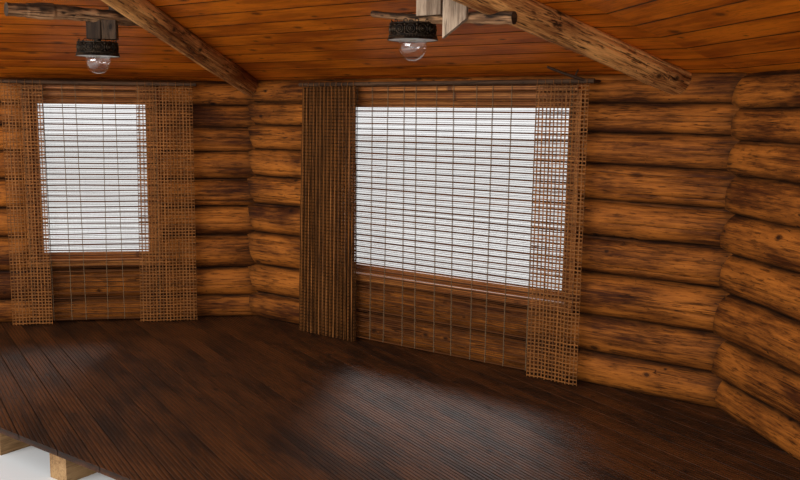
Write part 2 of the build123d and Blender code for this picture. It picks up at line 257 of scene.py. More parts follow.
class Graph:
    """Adds nodes to one tree; an input may be a number, a colour or another node's output."""

    def __init__(self, tree):
        self.tree = tree

    def fill(self, sockets, values):
        """Sets each named socket to its value, or links it to another node's output."""
        for name, value in values.items():
            if isinstance(value, bpy.types.NodeSocket):
                self.tree.links.new(value, sockets[name])
            else:
                sockets[name].default_value = value

    def node(self, kind, inputs=None, **settings):
        """A new node with its settings and inputs."""
        made = self.tree.nodes.new(kind)
        for name, value in settings.items():
            setattr(made, name, value)
        self.fill(made.inputs, inputs or {})
        return made

    def math(self, operation, first, second=0.0, third=0.0):
        """One step of arithmetic."""
        return self.node("ShaderNodeMath", {0: first, 1: second, 2: third}, operation=operation).outputs[0]

    def plus(self, first, second):
        return self.math("ADD", first, second)

    def minus(self, first, second):
        return self.math("SUBTRACT", first, second)

    def times(self, first, second):
        return self.math("MULTIPLY", first, second)

    def times_plus(self, first, second, third):
        return self.math("MULTIPLY_ADD", first, second, third)

    def vector(self, operation, first, second=(0.0, 0.0, 0.0)):
        """One step of arithmetic with vectors."""
        made = self.node("ShaderNodeVectorMath", {0: first, 1: second}, operation=operation)
        return made.outputs["Value" if operation == "LENGTH" else "Vector"]

    def parts(self, vector):
        """The numbers X, Y and Z of a vector."""
        return self.node("ShaderNodeSeparateXYZ", {0: vector}).outputs

    def joined(self, **parts):
        """A vector from its numbers X, Y and Z."""
        return self.node("ShaderNodeCombineXYZ", parts).outputs[0]

    def noise(self, place, scale, detail=3.0, roughness=0.5):
        """Smooth noise; scale is along the grain, across it and across it again."""
        stretched = self.vector("MULTIPLY", place, scale)
        return self.node("ShaderNodeTexNoise", {"Vector": stretched, "Scale": 1.0, "Detail": detail,
                                                "Roughness": roughness}).outputs["Fac"]

    def even_noise(self, place, scale, detail=3.0, roughness=0.5):
        """Smooth noise of the same scale every way."""
        return self.noise(place, (scale, scale, scale), detail, roughness)

    def step(self, value, low, high):
        """0 below low and 1 above high, or the other way round, with a soft edge."""
        return self.node("ShaderNodeMapRange", {"Value": value, "From Min": low, "From Max": high},
                         interpolation_type="SMOOTHSTEP").outputs["Result"]

    def near_middle(self, value, clear, full):
        """1 where a noise is within full of its middle value, falling to 0 at clear."""
        return self.step(self.math("ABSOLUTE", self.minus(value, 0.5)), clear, full)

    def mix(self, factor, first, second):
        """A colour between two."""
        return self.node("ShaderNodeMix", {0: factor, 6: first, 7: second}, data_type="RGBA",
                         blend_type="MIX").outputs[2]

    def attribute(self, name, output="Vector"):
        """What the mesh says at each point."""
        return self.node("ShaderNodeAttribute", attribute_name=name).outputs[output]

    def object_place(self):
        """Each point's place in the part, in metres."""
        return self.node("ShaderNodeTexCoord").outputs["Object"]

    def group(self, name, inputs):
        """The outputs of a shared effect."""
        return self.node("ShaderNodeGroup", inputs, node_tree=bpy.data.node_groups[name]).outputs


def rgba(value):
    """A colour setting with its fourth number."""
    return (*value, 1.0)


def toned(value, factor):
    """A colour made lighter or darker."""
    return tuple(min(1.0, factor * part) for part in value)


def new_group(name, inputs, outputs):
    """An empty node group with named sockets: its graph, its inputs and its output node's sockets."""
    tree = bpy.data.node_groups.new(name, "ShaderNodeTree")
    for direction, sockets in (("INPUT", inputs), ("OUTPUT", outputs)):
        for title, kind in sockets.items():
            tree.interface.new_socket(title, in_out=direction, socket_type=f"NodeSocket{kind}")
    graph = Graph(tree)
    return graph, graph.node("NodeGroupInput").outputs, graph.node("NodeGroupOutput").inputs


def make_fibre_group():
    """Wood fibres along the first axis: fine fibres, streaks, clouds, dark dashes, hair checks and pits."""
    titles = ("Fine", "Streaks", "Clouds", "Dashes", "Hairs", "Pits")
    graph, given, put = new_group("Wood fibre", {"Grain": "Vector"}, {title: "Float" for title in titles})
    grain = given["Grain"]
    fine = graph.noise(grain, (11.0, 150.0, 150.0), 4.0, 0.65)
    streaks = graph.noise(grain, (2.2, 34.0, 34.0), 4.0, 0.6)
    clouds = graph.noise(grain, (1.7, 4.5, 4.5), 3.0, 0.55)
    thin_lines = graph.near_middle(graph.noise(grain, (2.2, 46.0, 46.0), 2.0, 0.5), 0.022, 0.004)
    checked = graph.step(graph.noise(grain, (2.6, 11.0, 11.0), 2.0, 0.5), 0.52, 0.62)
    hairs = graph.times(thin_lines, checked)
    holes = graph.step(graph.noise(grain, (34.0, 95.0, 95.0), 2.0, 0.5), 0.66, 0.74)
    pits = graph.times(holes, graph.step(graph.noise(grain, (3.0, 9.0, 9.0), 2.0), 0.44, 0.6))
    dashes = graph.step(graph.noise(grain, (10.0, 72.0, 72.0), 3.0, 0.6), 0.46, 0.33)
    graph.fill(put, dict(zip(titles, (fine, streaks, clouds, dashes, hairs, pits))))


def make_knot_group():
    """A knot from the distance to its middle: its eye, the ring about it, and how it bends the grain."""
    graph, given, put = new_group("Knot", {"Grain": "Vector", "Offset": "Vector", "Stretch": "Float"},
                                  {"Eye": "Float", "Ring": "Float", "Bent grain": "Vector"})
    parts = graph.parts(given["Offset"])
    flat = graph.joined(X=graph.math("DIVIDE", parts["X"], given["Stretch"]), Y=parts["Y"])
    wobble = graph.even_noise(given["Grain"], 60.0, 2.0)
    far = graph.math("DIVIDE", graph.vector("LENGTH", flat), parts["Z"])
    far = graph.plus(far, graph.times(graph.minus(wobble, 0.5), 0.7))
    eye = graph.step(far, 1.1, 0.75)
    ring = graph.times(graph.step(far, 0.8, 1.1), graph.step(far, 1.9, 1.1))
    near = graph.math("EXPONENT", graph.times(graph.times(far, far), -0.16))
    push = graph.times(graph.times(parts["Y"], near), -0.85)
    bent = graph.vector("ADD", given["Grain"], graph.joined(Y=push))
    graph.fill(put, {"Eye": eye, "Ring": ring, "Bent grain": bent})


def make_board_knot_group():
    """Distance from each point of a board to the middle of the nearest of its scattered knots."""
    graph, given, put = new_group(
        "Board knots", {"Grain": "Vector", "Spacing": "Vector", "Radius": "Float"}, {"Offset": "Vector"})
    scaled = graph.vector("DIVIDE", given["Grain"], given["Spacing"])
    cells = graph.node("ShaderNodeTexVoronoi", {"Vector": scaled, "Scale": 1.0}, voronoi_dimensions="2D")
    away = graph.vector("SUBTRACT", scaled, cells.outputs["Position"])
    parts = graph.parts(graph.vector("MULTIPLY", away, given["Spacing"]))
    tint = graph.node("ShaderNodeSeparateColor", {0: cells.outputs["Color"]}).outputs[0]
    radius = graph.times(given["Radius"], graph.plus(tint, 0.12))
    graph.fill(put, {"Offset": graph.joined(X=parts["X"], Y=parts["Y"], Z=radius)})


def make_grime_and_shade_group():
    """Darkens a colour unevenly: painted shade in the log grooves and corners, and darkened checks and
    joints.
    """
    graph, given, put = new_group("Grime and shade", {"Colour": "Color", "Shade and grime amount": "Float", "Grain": "Vector",
                                            "Shade and grime colour": "Color"}, {"Colour": "Color"})
    patchy = graph.noise(given["Grain"], (9.0, 30.0, 30.0), 3.0)
    amount = graph.times(given["Shade and grime amount"], graph.times_plus(patchy, 0.7, 0.65))
    amount = graph.math("MINIMUM", amount, 0.93)
    graph.fill(put, {"Colour": graph.mix(amount, given["Colour"], given["Shade and grime colour"])})


def make_ring_group():
    """Growth rings and drying cracks of a log's cut end."""
    graph, given, put = new_group("End rings", {"Grain": "Vector"}, {"Rings": "Float", "Cracks": "Float"})
    parts = graph.parts(given["Grain"])
    flat = graph.joined(X=parts["X"], Y=parts["Y"])
    wobble = graph.even_noise(given["Grain"], 14.0, 3.0)
    far = graph.plus(graph.vector("LENGTH", flat), graph.times(wobble, 0.03))
    rings = graph.times_plus(graph.math("SINE", graph.times(far, 900.0)), 0.5, 0.5)
    angle = graph.math("ARCTAN2", parts["Y"], parts["X"])
    ray = graph.joined(X=angle, Y=graph.times(far, 3.0), Z=parts["Z"])
    cracks = graph.near_middle(graph.noise(ray, (2.6, 1.0, 5.0), 2.0), 0.016, 0.004)
    graph.fill(put, {"Rings": rings, "Cracks": cracks})


def new_material(name, **sockets):
    """A material with plain values on its shader, the graph that adds the rest, and the shader's inputs."""
    made = bpy.data.materials.new(name)
    made.use_nodes = True
    shader = made.node_tree.nodes["Principled BSDF"]
    for key, value in sockets.items():
        shader.inputs[key.replace("_", " ")].default_value = value
    return made, Graph(made.node_tree), shader.inputs


def bump_into(graph, shader, height, distance, strength=1.0):
    """Relief from a height."""
    bump = graph.node("ShaderNodeBump", {"Height": height, "Distance": distance, "Strength": strength})
    graph.fill(shader, {"Normal": bump.outputs[0]})


def wood_material(name, light, dark, knot, grain=None, offset=None, stretch=1.5, relief=0.0025,
                  rough=(0.55, 0.8), fine_share=0.45, hair=0.75, pits=0.0, dash=0.35, shade_and_grime=True, **sockets):
    """Wood with streaks, fibres, dashes, hair checks, pits and knots, with painted shade in its grooves and
    corners and darkened checks and joints.
    """
    _, graph, shader = new_material(name, **{"Specular_IOR_Level": 0.2, **sockets})
    grain = graph.attribute("grain") if grain is None else grain(graph)
    offset = graph.attribute("knot") if offset is None else offset(graph, grain)
    knots = graph.group("Knot", {"Grain": grain, "Offset": offset, "Stretch": stretch})
    fibre = graph.group("Wood fibre", {"Grain": knots["Bent grain"]})
    tone = graph.times_plus(fibre["Fine"], fine_share, graph.times(fibre["Streaks"], 1 - fine_share))
    tone = graph.times_plus(graph.minus(fibre["Clouds"], 0.5), 0.9, tone)
    shown = graph.mix(graph.step(tone, 0.28, 0.72), rgba(dark), rgba(light))
    for mask, share, tint in (
        (fibre["Dashes"], dash, toned(dark, 0.3)),
        (fibre["Hairs"], hair, knot),
        (fibre["Pits"], pits, knot),
        (knots["Ring"], 0.45, knot),
        (knots["Eye"], 0.85, knot),
    ):
        if share:
            shown = graph.mix(graph.times(mask, share), shown, rgba(tint))
    # Painted shade in grooves and corners, and darkened checks and joints, mixed towards near black
    if shade_and_grime:
        shown = graph.group("Grime and shade", {
            "Colour": shown, "Shade and grime amount": graph.attribute("shade_and_grime", "Fac"), "Grain": grain,
            "Shade and grime colour": rgba(linear(20, 10, 5))})["Colour"]
    graph.fill(shader, {"Base Color": shown})
    low, high = rough
    graph.fill(shader, {"Roughness": graph.times_plus(fibre["Fine"], high - low, low)})
    height = graph.times_plus(fibre["Streaks"], 0.4, graph.times(fibre["Fine"], 0.55))
    for mask, lift in ((fibre["Hairs"], -0.7), (fibre["Dashes"], -0.25), (knots["Eye"], -0.25)):
        height = graph.times_plus(mask, lift, height)
    bump_into(graph, shader, height, relief)


def scattered(spacing, radius):
    """Board knots as the distance that the knot group reads."""
    def offset(graph, grain):
        return graph.group("Board knots", {"Grain": grain, "Spacing": spacing, "Radius": radius})["Offset"]
    return offset


def end_material(name, light, dark):
    """Cut end of a log: rings, cracks and dirt."""
    _, graph, shader = new_material(name, Roughness=0.85)
    grain = graph.attribute("grain")
    rings = graph.group("End rings", {"Grain": grain})
    clouds = graph.even_noise(grain, 12.0, 3.0)
    tone = graph.times_plus(rings["Rings"], 0.45, graph.times(clouds, 0.55))
    shown = graph.mix(tone, rgba(light), rgba(dark))
    shown = graph.mix(graph.times(rings["Cracks"], 0.9), shown, rgba(linear(24, 14, 8)))
    graph.fill(shader, {"Base Color": shown})
    height = graph.times_plus(rings["Cracks"], -1.5, rings["Rings"])
    bump_into(graph, shader, height, 0.0012)


def new_object(name, data):
    """An object in the scene."""
    made = bpy.data.objects.new(name, data)
    bpy.context.scene.collection.objects.link(made)
    return made


def with_middle(ring):
    """A ring of points, the same at half its size, and its middle."""
    middle = ring.mean(axis=0)
    return np.concatenate([ring, middle + (ring - middle) * 0.5, [middle]])


class Maker:
    """Gathers the faces of one piece, and what its materials read at each point."""

    def __init__(self):
        self.points, self.grain, self.knot, self.shade_and_grime = [], [], [], []
        self.faces, self.slots, self.smooth = [], [], []
        self.total = 0

    def add(self, points, faces, grain, knot=far_knot, shade_and_grime=0.0, slot=0, smooth=True):
        """Faces over new points; grain is along, across and through the wood, in metres."""
        points = np.reshape(points, (-1, 3))
        self.points.append(points)
        self.grain.append(np.broadcast_to(np.reshape(grain, (-1, 3)), points.shape))
        self.knot.append(np.broadcast_to(np.reshape(knot, (-1, 3)), points.shape))
        self.shade_and_grime.append(np.broadcast_to(np.reshape(shade_and_grime, -1), len(points)))
        if isinstance(faces, np.ndarray):
            self.faces += (faces + self.total).tolist()
        else:
            self.faces += [[corner + self.total for corner in face] for face in faces]
        self.slots += [slot] * len(faces)
        self.smooth += [smooth] * len(faces)
        self.total += len(points)

    def tube(self, points, grain, knot=far_knot, shade_and_grime=0.0, slot=0, smooth=True, cut=None, seed=0.0,
             loop=False):
        """A tube through rings of points, which turn right-handed about the way they follow.

        It runs round, or is closed by a face at each end. With cut, the outline of a log's cut end, these
        faces have the second material.
        """
        rings, columns = points.shape[:2]
        index = np.arange(rings * columns).reshape(rings, columns)
        if loop:
            index = np.concatenate([index, index[:1]])
        beside = np.roll(index, -1, axis=1)
        quads = np.stack([index[:-1], beside[:-1], beside[1:], index[1:]], -1).reshape(-1, 4)
        before = self.total
        self.add(points, quads, grain, knot, shade_and_grime, slot, smooth)
        if loop:
            return
        if cut is None:
            self.faces += [(index[0, ::-1] + before).tolist(), (index[-1] + before).tolist()]
            self.slots += [slot] * 2
            self.smooth += [False] * 2
            return
        first, second = index[0], beside[0]
        around = np.stack([first, second, second + columns, first + columns], -1).tolist()
        fan = np.stack([first + columns, second + columns, np.full(columns, 2 * columns)], -1).tolist()
        faces = around + fan
        end_grain = np.pad(with_middle(cut), ((0, 0), (0, 1)), constant_values=seed)
        for ring, turned in ((points[0], [face[::-1] for face in faces]), (points[-1], faces)):
            self.add(with_middle(ring), turned, end_grain, slot=1, smooth=False)

    def build(self, name, materials, slot, nodes=()):
        """The finished piece, riding on the part and standing for its nodes."""
        mesh = bpy.data.meshes.new(name)
        mesh.from_pydata(np.concatenate(self.points).tolist(), [], self.faces)
        for material in materials:
            mesh.materials.append(material)
        mesh.polygons.foreach_set("material_index", self.slots)
        mesh.polygons.foreach_set("use_smooth", self.smooth)
        for title, rows in (("grain", self.grain), ("knot", self.knot)):
            values = mesh.attributes.new(title, "FLOAT_VECTOR", "POINT")
            values.data.foreach_set("vector", np.concatenate(rows).astype(np.float32).ravel())
        # How dark each point is painted: painted shade in log grooves, log corners and curtain folds, and
        # darkened checks and joints
        values = mesh.attributes.new("shade_and_grime", "FLOAT", "POINT")
        values.data.foreach_set("value", np.concatenate(self.shade_and_grime).astype(np.float32))
        mesh.update()
        made = new_object(name, mesh)
        if nodes:
            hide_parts(*nodes)
        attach(made, "root")
        return made


def dress(node, *materials):
    """Gives a carried-over node its material."""
    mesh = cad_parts[node].data
    mesh.materials.clear()
    for material in materials:
        mesh.materials.append(material)


# Form of a peeled log: its waves as shares of its radius, its knots and its drying checks
wave_turns = (1, 1, 2, 2, 3, 5)
wave_heights = (0.012, 0.010, 0.011, 0.008, 0.007, 0.004)
wave_lengths = (0.35, 2.2)
knot_radii = (0.04, 0.12)
knot_stretch = 1.5
boss_height = 0.0035
boss_length = 0.07
boss_width = 0.045
check_lengths = (0.35, 1.5)
check_end_share = 0.12
check_drift = 0.0009
check_drift_limit = 0.05
check_half_width = 0.0012
check_half_opening = 0.0028


class LogForm:
    """Shape of one peeled log: gentle waves, swellings at its knots, and long checks."""

    def __init__(self, seed, radius, low, high, gnarl, knot_spacing):
        self.rng = np.random.default_rng(seed)
        self.seed = seed
        self.radius = radius
        self.turns = np.array(wave_turns)
        self.amplitude = gnarl * radius * np.array(wave_heights)
        self.rate = 2 * pi / self.rng.uniform(*wave_lengths, len(wave_turns))
        self.phase = self.rng.uniform(0, 2 * pi, len(wave_turns))
        count = max(1, int((high - low) / knot_spacing))
        self.knot_u = self.rng.uniform(low, high, count)
        self.knot_angle = self.rng.uniform(0, 2 * pi, count)
        self.knot_radius = self.rng.uniform(*knot_radii, count) * sqrt(radius * 0.125)
        self.boss = boss_height * min(1.0, gnarl)
        self.mean = radius - 0.5 * self.amplitude.sum()

    def from_knots(self, u, angle):
        """Distance along and round the log to each knot."""
        along = u[..., None] - self.knot_u
        turned = np.mod(angle[..., None] - self.knot_angle + pi, 2 * pi) - pi
        return along, turned * self.radius

    def radius_at(self, u, angle):
        """Radius of the log at a place and an angle, never more than the real log's."""
        u, angle = np.broadcast_arrays(u, angle)
        turn = self.rate * u[..., None] + self.turns * angle[..., None] + self.phase
        waves = self.amplitude * np.sin(turn)
        along, across = self.from_knots(u, angle)
        bosses = self.boss * np.exp(-((along / boss_length) ** 2) - (across / boss_width) ** 2)
        return np.minimum(self.mean + waves.sum(-1) + bosses.sum(-1), self.radius)

    def knot_offsets(self, u, angle):
        """What the knot group reads: distance along and round to the nearest knot, and its radius."""
        along, across = self.from_knots(u, angle)
        nearest = np.argmin((along / knot_stretch) ** 2 + across**2, axis=-1)[..., None]
        pick = [np.take_along_axis(rows, nearest, -1)[..., 0] for rows in (along, across)]
        return np.stack([*pick, self.knot_radius[nearest[..., 0]]], -1)

    def cut_checks(self, u, angles, columns, count, depth):
        """Moves columns of points together over some stretches, and gives how deep each point sinks."""
        dent = np.zeros_like(angles)
        slots = columns[2:-2:4]
        self.rng.shuffle(slots)
        for column in slots[:count]:
            reach = self.rng.uniform(*check_lengths) / 2
            middle = self.rng.uniform(u.min(), u.max())
            share = np.clip(1 - np.abs(u - middle) / reach, 0, 1)
            hold = np.clip(share / check_end_share, 0, 1)
            open_by = np.sqrt(share)
            drift = np.cumsum(self.rng.normal(0, check_drift, len(u))) / self.radius
            drift -= drift[np.argmin(np.abs(u - middle))]
            centre = angles[:, column] + hold * np.clip(drift, -check_drift_limit, check_drift_limit)
            opening = check_half_opening * open_by * self.rng.uniform(0.6, 1.2)
            half = (check_half_width + opening) / self.radius
            for side in (-1, 1):
                beside = angles[:, column + side]
                angles[:, column + side] = beside + hold * (centre + side * half - beside)
            angles[:, column] = centre
            dent[:, column] = depth * self.rng.uniform(0.6, 1.0) * open_by
        return dent


def round_edges(drop):
    """Heights where the logs of a wall meet, with the sill log's two ends first."""
    edges = [-sill_log_height, 0.0]
    for height in course_heights:
        edges.append(edges[-1] + height)
    return edges[:2] + [edge - drop for edge in edges[2:]]


def log_forms(seed, drop, low, high, settings):
    """Shape, middle height and half height of each log of a wall, the sill log first."""
    edges = round_edges(drop)
    rows = []
    for index, (bottom, top) in enumerate(zip(edges, edges[1:])):
        radius = hypot((top - bottom) / 2, groove_depth)
        form = LogForm(seed + index, radius, low, high, settings.gnarl, settings.knot_spacing)
        rows.append((form, (bottom + top) / 2, (top - bottom) / 2))
    return rows


# Columns of points on the parts of a log's round
inner_columns = 24
outer_columns = 18
cove_columns = 6
top_columns = 3

# How a log's points meet its windows, its ends and its neighbours, and how dark they are painted: painted
# shade in grooves and corners, darkened checks, and bark left on poles
ring_pair = 0.0004
end_zone = 0.45
rafter_end_zone = 0.5
scribe_depth = 0.006
widest_meeting = 0.985
checks_per_side = 3
# Painted shade: how dark a log is painted along its grooves, and how far that shade reaches
groove_shade = 0.9
groove_shade_reach = 0.020
# Painted shade: how dark a log's room side is painted near the corners, and how far that shade reaches
corner_shade = 0.75
corner_shade_reach = 0.045
bark_left = 0.85


def log_columns(meet):
    """Angles round a log: dense where it shows, and on the lines where it meets its neighbours."""
    top = np.linspace(pi / 2, pi - meet, top_columns, endpoint=False)
    inner = np.linspace(pi - meet, pi + meet, inner_columns, endpoint=False)
    cove = np.linspace(pi + meet, 2 * pi - meet, cove_columns, endpoint=False)
    outer = np.linspace(2 * pi - meet, 2 * pi + meet, outer_columns)
    rest = np.linspace(2 * pi + meet, 2.5 * pi, top_columns + 1)[1:-1]
    return np.concatenate([top, inner, cove, outer, rest])


def even_rings(low, high, step):
    """Places of the rings along a log or pole, no more than a step apart."""
    return np.linspace(low, high, int(ceil((high - low) / step)) + 1)


def seat_rings(low, high, window, step):
    """Rings along a log, with close pairs where a window's casings begin."""
    rings = list(even_rings(low, high, step))
    if window:
        _, u0, u1 = window
        for edge in (lining, casing_width, outer_casing_width):
            for place in (u0 - edge - fit_gap, u1 + edge + fit_gap):
                rings += [place - ring_pair, place + ring_pair]
    return np.array(sorted(ring for ring in rings if low <= ring <= high))


def clear_window(u, v, z, window, middle):
    """Keeps a log's points out of a window's opening and flattens them for its casings."""
    _, u0, u1 = window

    def within(edge):
        """Points that lie in the window, widened all round."""
        edge = edge + fit_gap
        return (u > u0 - edge) & (u < u1 + edge) & (z > window_bottom - edge) & (z < window_top + edge)

    seat, outer_seat, hole = within(casing_width), within(outer_casing_width), within(lining)
    v = np.where(seat, np.maximum(v, -casing_back + fit_gap), v)
    v = np.where(outer_seat, np.minimum(v, lining_outer_face - fit_gap), v)
    below = middle < (window_bottom + window_top) / 2
    edge = window_bottom - lining - fit_gap if below else window_top + lining + fit_gap
    return v, np.where(hole, edge, z)


def pull_end(u, nominal, wanted, zone, high):
    """Shifts the rings near one end so that each line of the log ends at its own place."""
    distance = nominal - u if high else u - nominal
    return u + np.clip(1 - distance / zone, 0, 1) * (wanted - nominal)


def front_cut(wall, v):
    """Where a wall's line meets the open front."""
    return (front_y - wall_y - v * wall.out[1]) / wall.along[1]


def corner_scribe(wall, v, z, centre_rows):
    """Where a side wall's line meets the middle wall's logs."""
    middle_y = wall_y + groove_depth
    meets = [np.full(np.shape(z), middle_y)]
    for form, middle, _ in centre_rows:
        inside = form.mean**2 - (z - middle) ** 2
        meets.append(np.where(inside > 0, middle_y - np.sqrt(np.maximum(inside, 0)), middle_y))
    met = np.min(meets, axis=0) + scribe_depth
    return (met - wall_y - v * wall.out[1]) / wall.along[1]


def add_log(maker, wall, rows, index, span, settings, window=None, ends=None, seed=0):
    """One log, or one stretch of it beside a window, scribed to the log below.

    ends gives, for its low end as False and its high end as True, where each line of the log ends.
    """
    form, middle, half = rows[index]
    rings = seat_rings(*span, window, settings.ring_step)
    meet = asin(min(widest_meeting, half / form.mean))
    columns = log_columns(meet)
    angles = np.repeat(columns[None], len(rings), axis=0)
    inner = np.arange(top_columns, top_columns + inner_columns)
    last = len(columns) - top_columns + 1
    outer = np.arange(last - outer_columns, last)
    dent = form.cut_checks(rings, angles, inner, checks_per_side, settings.check_depth)
    dent += form.cut_checks(rings, angles, outer, checks_per_side, settings.check_depth)
    u = np.repeat(rings[:, None], len(columns), axis=1)
    radius = form.radius_at(u, angles) - dent
    v = groove_depth + radius * np.cos(angles)
    z = middle + radius * np.sin(angles)
    if index:
        lower, lower_middle, _ = rows[index - 1]
        from_z, from_v = z - lower_middle, v - groove_depth
        lower_radius = lower.radius_at(u, np.arctan2(from_z, from_v)) + fit_gap
        push = np.maximum(lower_radius / np.hypot(from_z, from_v), 1)
        v, z = groove_depth + from_v * push, lower_middle + from_z * push
    z = np.maximum(z, -floor_z)
    if window:
        v, z = clear_window(u, v, z, window, middle)
    for high, wanted in (ends or {}).items():
        row = -1 if high else 0
        u = pull_end(u, rings[row], wanted(v[row], z[row]), end_zone, high)
    points = wall.place(u, v, z)
    if index >= len(rows) - 2:
        points[..., 2] = np.minimum(points[..., 2], ceiling_z(points))
    shift = 13.7 * (seed + index)
    grain = np.stack([u + shift, form.radius * angles, np.full(u.shape, 0.37 * form.seed % 7)], -1)
    # Painted shade along the grooves where the logs meet
    in_groove = np.abs(np.abs(np.sin(angles)) - sin(meet)) * form.radius
    groove = groove_shade * np.exp(-((in_groove / groove_shade_reach) ** 1.4))
    # Painted shade on the room side of the logs near the corners where the walls meet
    corners = (0.0, room_side) if wall is centre_wall else (0.0,)
    from_corner = np.min([np.abs(u - place) for place in corners], axis=0)
    corner = corner_shade * np.exp(-from_corner / corner_shade_reach) * (np.cos(angles) < 0)
    # One darkening value per point: the painted shade of the grooves and corners, and the darkened checks
    shade_and_grime = np.max([dent / settings.check_depth, groove, corner], axis=0)
    flat = np.stack([v[0] - groove_depth, z[0] - middle], -1)
    maker.tube(points, grain, form.knot_offsets(u, angles), shade_and_grime, cut=flat, seed=shift % 5)


def add_pole(maker, form, start, along, low, high, columns=40, step=0.03, checks=0, depth=0.01,
             below_ceiling=False, cut_front=False, bend=None, bark=False):
    """A round log or pole that isn't in a wall, from low to high along its line."""
    side = -unit(np.cross(upward, along))
    down = np.cross(along, side)
    rings = even_rings(low, high, step)
    angles = np.repeat(np.linspace(pi / 2, 2.5 * pi, columns, endpoint=False)[None], len(rings), axis=0)
    dent = form.cut_checks(rings, angles, np.arange(2, columns - 2), checks, depth)
    u = np.repeat(rings[:, None], columns, axis=1)
    radius = form.radius_at(u, angles) - dent
    a, b = radius * np.cos(angles), radius * np.sin(angles)
    if bend:
        shift_a, shift_b, scale = bend(u)
        a, b = a * scale + shift_a, b * scale + shift_b
    base = start + a[..., None] * side + b[..., None] * down
    if cut_front:
        wanted = (front_y - base[-1, :, 1]) / along[1]
        u = pull_end(u, rings[-1], wanted, rafter_end_zone, True)
    points = base + u[..., None] * along
    if below_ceiling:
        points[..., 2] = np.minimum(points[..., 2], ceiling_z(points))
    through = np.full(u.shape, 0.61 * form.seed % 9)
    grain = np.stack([u + 5.1 * form.seed, form.radius * angles, through], -1)
    shade_and_grime = dent / depth
    if bark:
        edge = 0.35 * np.sin(11 * u + form.seed) + 0.25 * np.sin(43 * u + 3 * angles) - np.sin(angles)
        shade_and_grime = np.maximum(shade_and_grime, bark_left * np.clip((edge - 0.1) / 0.3, 0, 1))
    flat = np.stack([a[0], b[0]], -1)
    maker.tube(points, grain, form.knot_offsets(u, angles), shade_and_grime, cut=flat, seed=form.seed % 5)


def add_bar(maker, corners, along, bevel=0.003, seed=0.0, slot=0, place=None, ends=None):
    """A bar with chamfered edges between two corners, its grain along axis 0, 1 or 2.

    place turns the bar's own directions into the row frame; ends moves its two ends, point by point.
    """
    low, high = np.min(corners, axis=0), np.max(corners, axis=0)
    first, second = [(1, 2), (2, 0), (0, 1)][along]
    c = min(bevel, 0.3 * (high - low)[first], 0.3 * (high - low)[second])
    a0, a1, b0, b1 = low[first], high[first], low[second], high[second]
    outline = [(a0 + c, b0), (a1 - c, b0), (a1, b0 + c), (a1, b1 - c), (a1 - c, b1), (a0 + c, b1),
               (a0, b1 - c), (a0, b0 + c)]
    rings = np.zeros((2, 8, 3))
    rings[:, :, first], rings[:, :, second] = np.transpose(outline)
    rings[0, :, along], rings[1, :, along] = low[along], high[along]
    if ends:
        rings = ends(rings)
    order = [along, first, second]
    grain = rings[..., order] + np.array([3.3, 1.7, 0.9]) * seed
    points = place(*np.moveaxis(rings, -1, 0)) if place else rings
    maker.tube(points, grain, slot=slot, smooth=False)


def lathe(maker, centre, profile, sides, slot=0, loop=False):
    """A turned piece: radius and height of its outline from the top down, about an upright axis."""
    profile = np.array(profile, float)
    angles = np.linspace(0, 2 * pi, sides, endpoint=False)
    ring = np.stack([np.cos(angles), -np.sin(angles)], -1)
    points = np.zeros((len(profile), sides, 3))
    points[..., :2] = profile[:, None, :1] * ring
    points[..., 2] = profile[:, 1:]
    maker.tube(points + centre, points, slot=slot, loop=loop)


def torus(maker, centre, axis, major, minor, sides=20, rounds=8):
    """A round ring about an axis."""
    axis = unit(axis)
    helper = upward if abs(axis[2]) < 0.9 else (1.0, 0.0, 0.0)
    right = unit(np.cross(helper, axis))
    up = np.cross(axis, right)
    big = np.linspace(0, 2 * pi, sides, endpoint=False)[:, None]
    small = np.linspace(0, 2 * pi, rounds, endpoint=False)[None]
    out = np.cos(big)[..., None] * right + np.sin(big)[..., None] * up
    points = centre + out * (major + minor * np.cos(small))[..., None]
    points = points - (minor * np.sin(small) * np.ones_like(big))[..., None] * axis
    maker.tube(points, points - centre, loop=True)


def ribbon(maker, path, across, normal, width, thickness, slot=0, seed=0.0, shade_and_grime=0.0):
    """A flat reed along a path; across and normal are its directions, one for all points or one each."""
    corners = ((0.5, -0.5), (0.5, 0.5), (-0.5, 0.5), (-0.5, -0.5))
    points = np.stack([path + across * width * a + normal * thickness * b for a, b in corners], axis=1)
    run = np.concatenate([[0], np.cumsum(np.linalg.norm(np.diff(path, axis=0), axis=1))])
    grain = np.zeros_like(points)
    grain[..., 0] = run[:, None] + 2.3 * seed
    grain[..., 1] = np.array([a for a, b in corners]) * width + 0.31 * seed
    grain[..., 2] = seed % 7
    shade_and_grime = np.repeat(np.broadcast_to(shade_and_grime, len(path))[:, None], len(corners), axis=1)
    maker.tube(points, grain, shade_and_grime=shade_and_grime, slot=slot, smooth=False)


def crossings(corners, normal, limit):
    """Each side of a flat polygon, with how far its two ends lie past a line."""
    for first, second in zip(corners, corners[1:] + corners[:1]):
        yield first, second, np.dot(normal, first) - limit, np.dot(normal, second) - limit


def clip_polygon(corners, normal, limit):
    """The part of a flat polygon where normal times point stays under a limit."""
    kept = []
    for first, second, a, b in crossings(corners, normal, limit):
        if a <= 0:
            kept.append(first)
        if a * b < 0:
            kept.append(first + (second - first) * a / (a - b))
    return kept


def span_across(corners, along, across, offset):
    """Where the line at one offset crosses a polygon, along the line."""
    found = []
    for first, second, a, b in crossings(corners, across, offset):
        if a * b <= 0 and a != b:
            found.append(np.dot(along, first + (second - first) * a / (a - b)))
    return (min(found), max(found)) if found else None


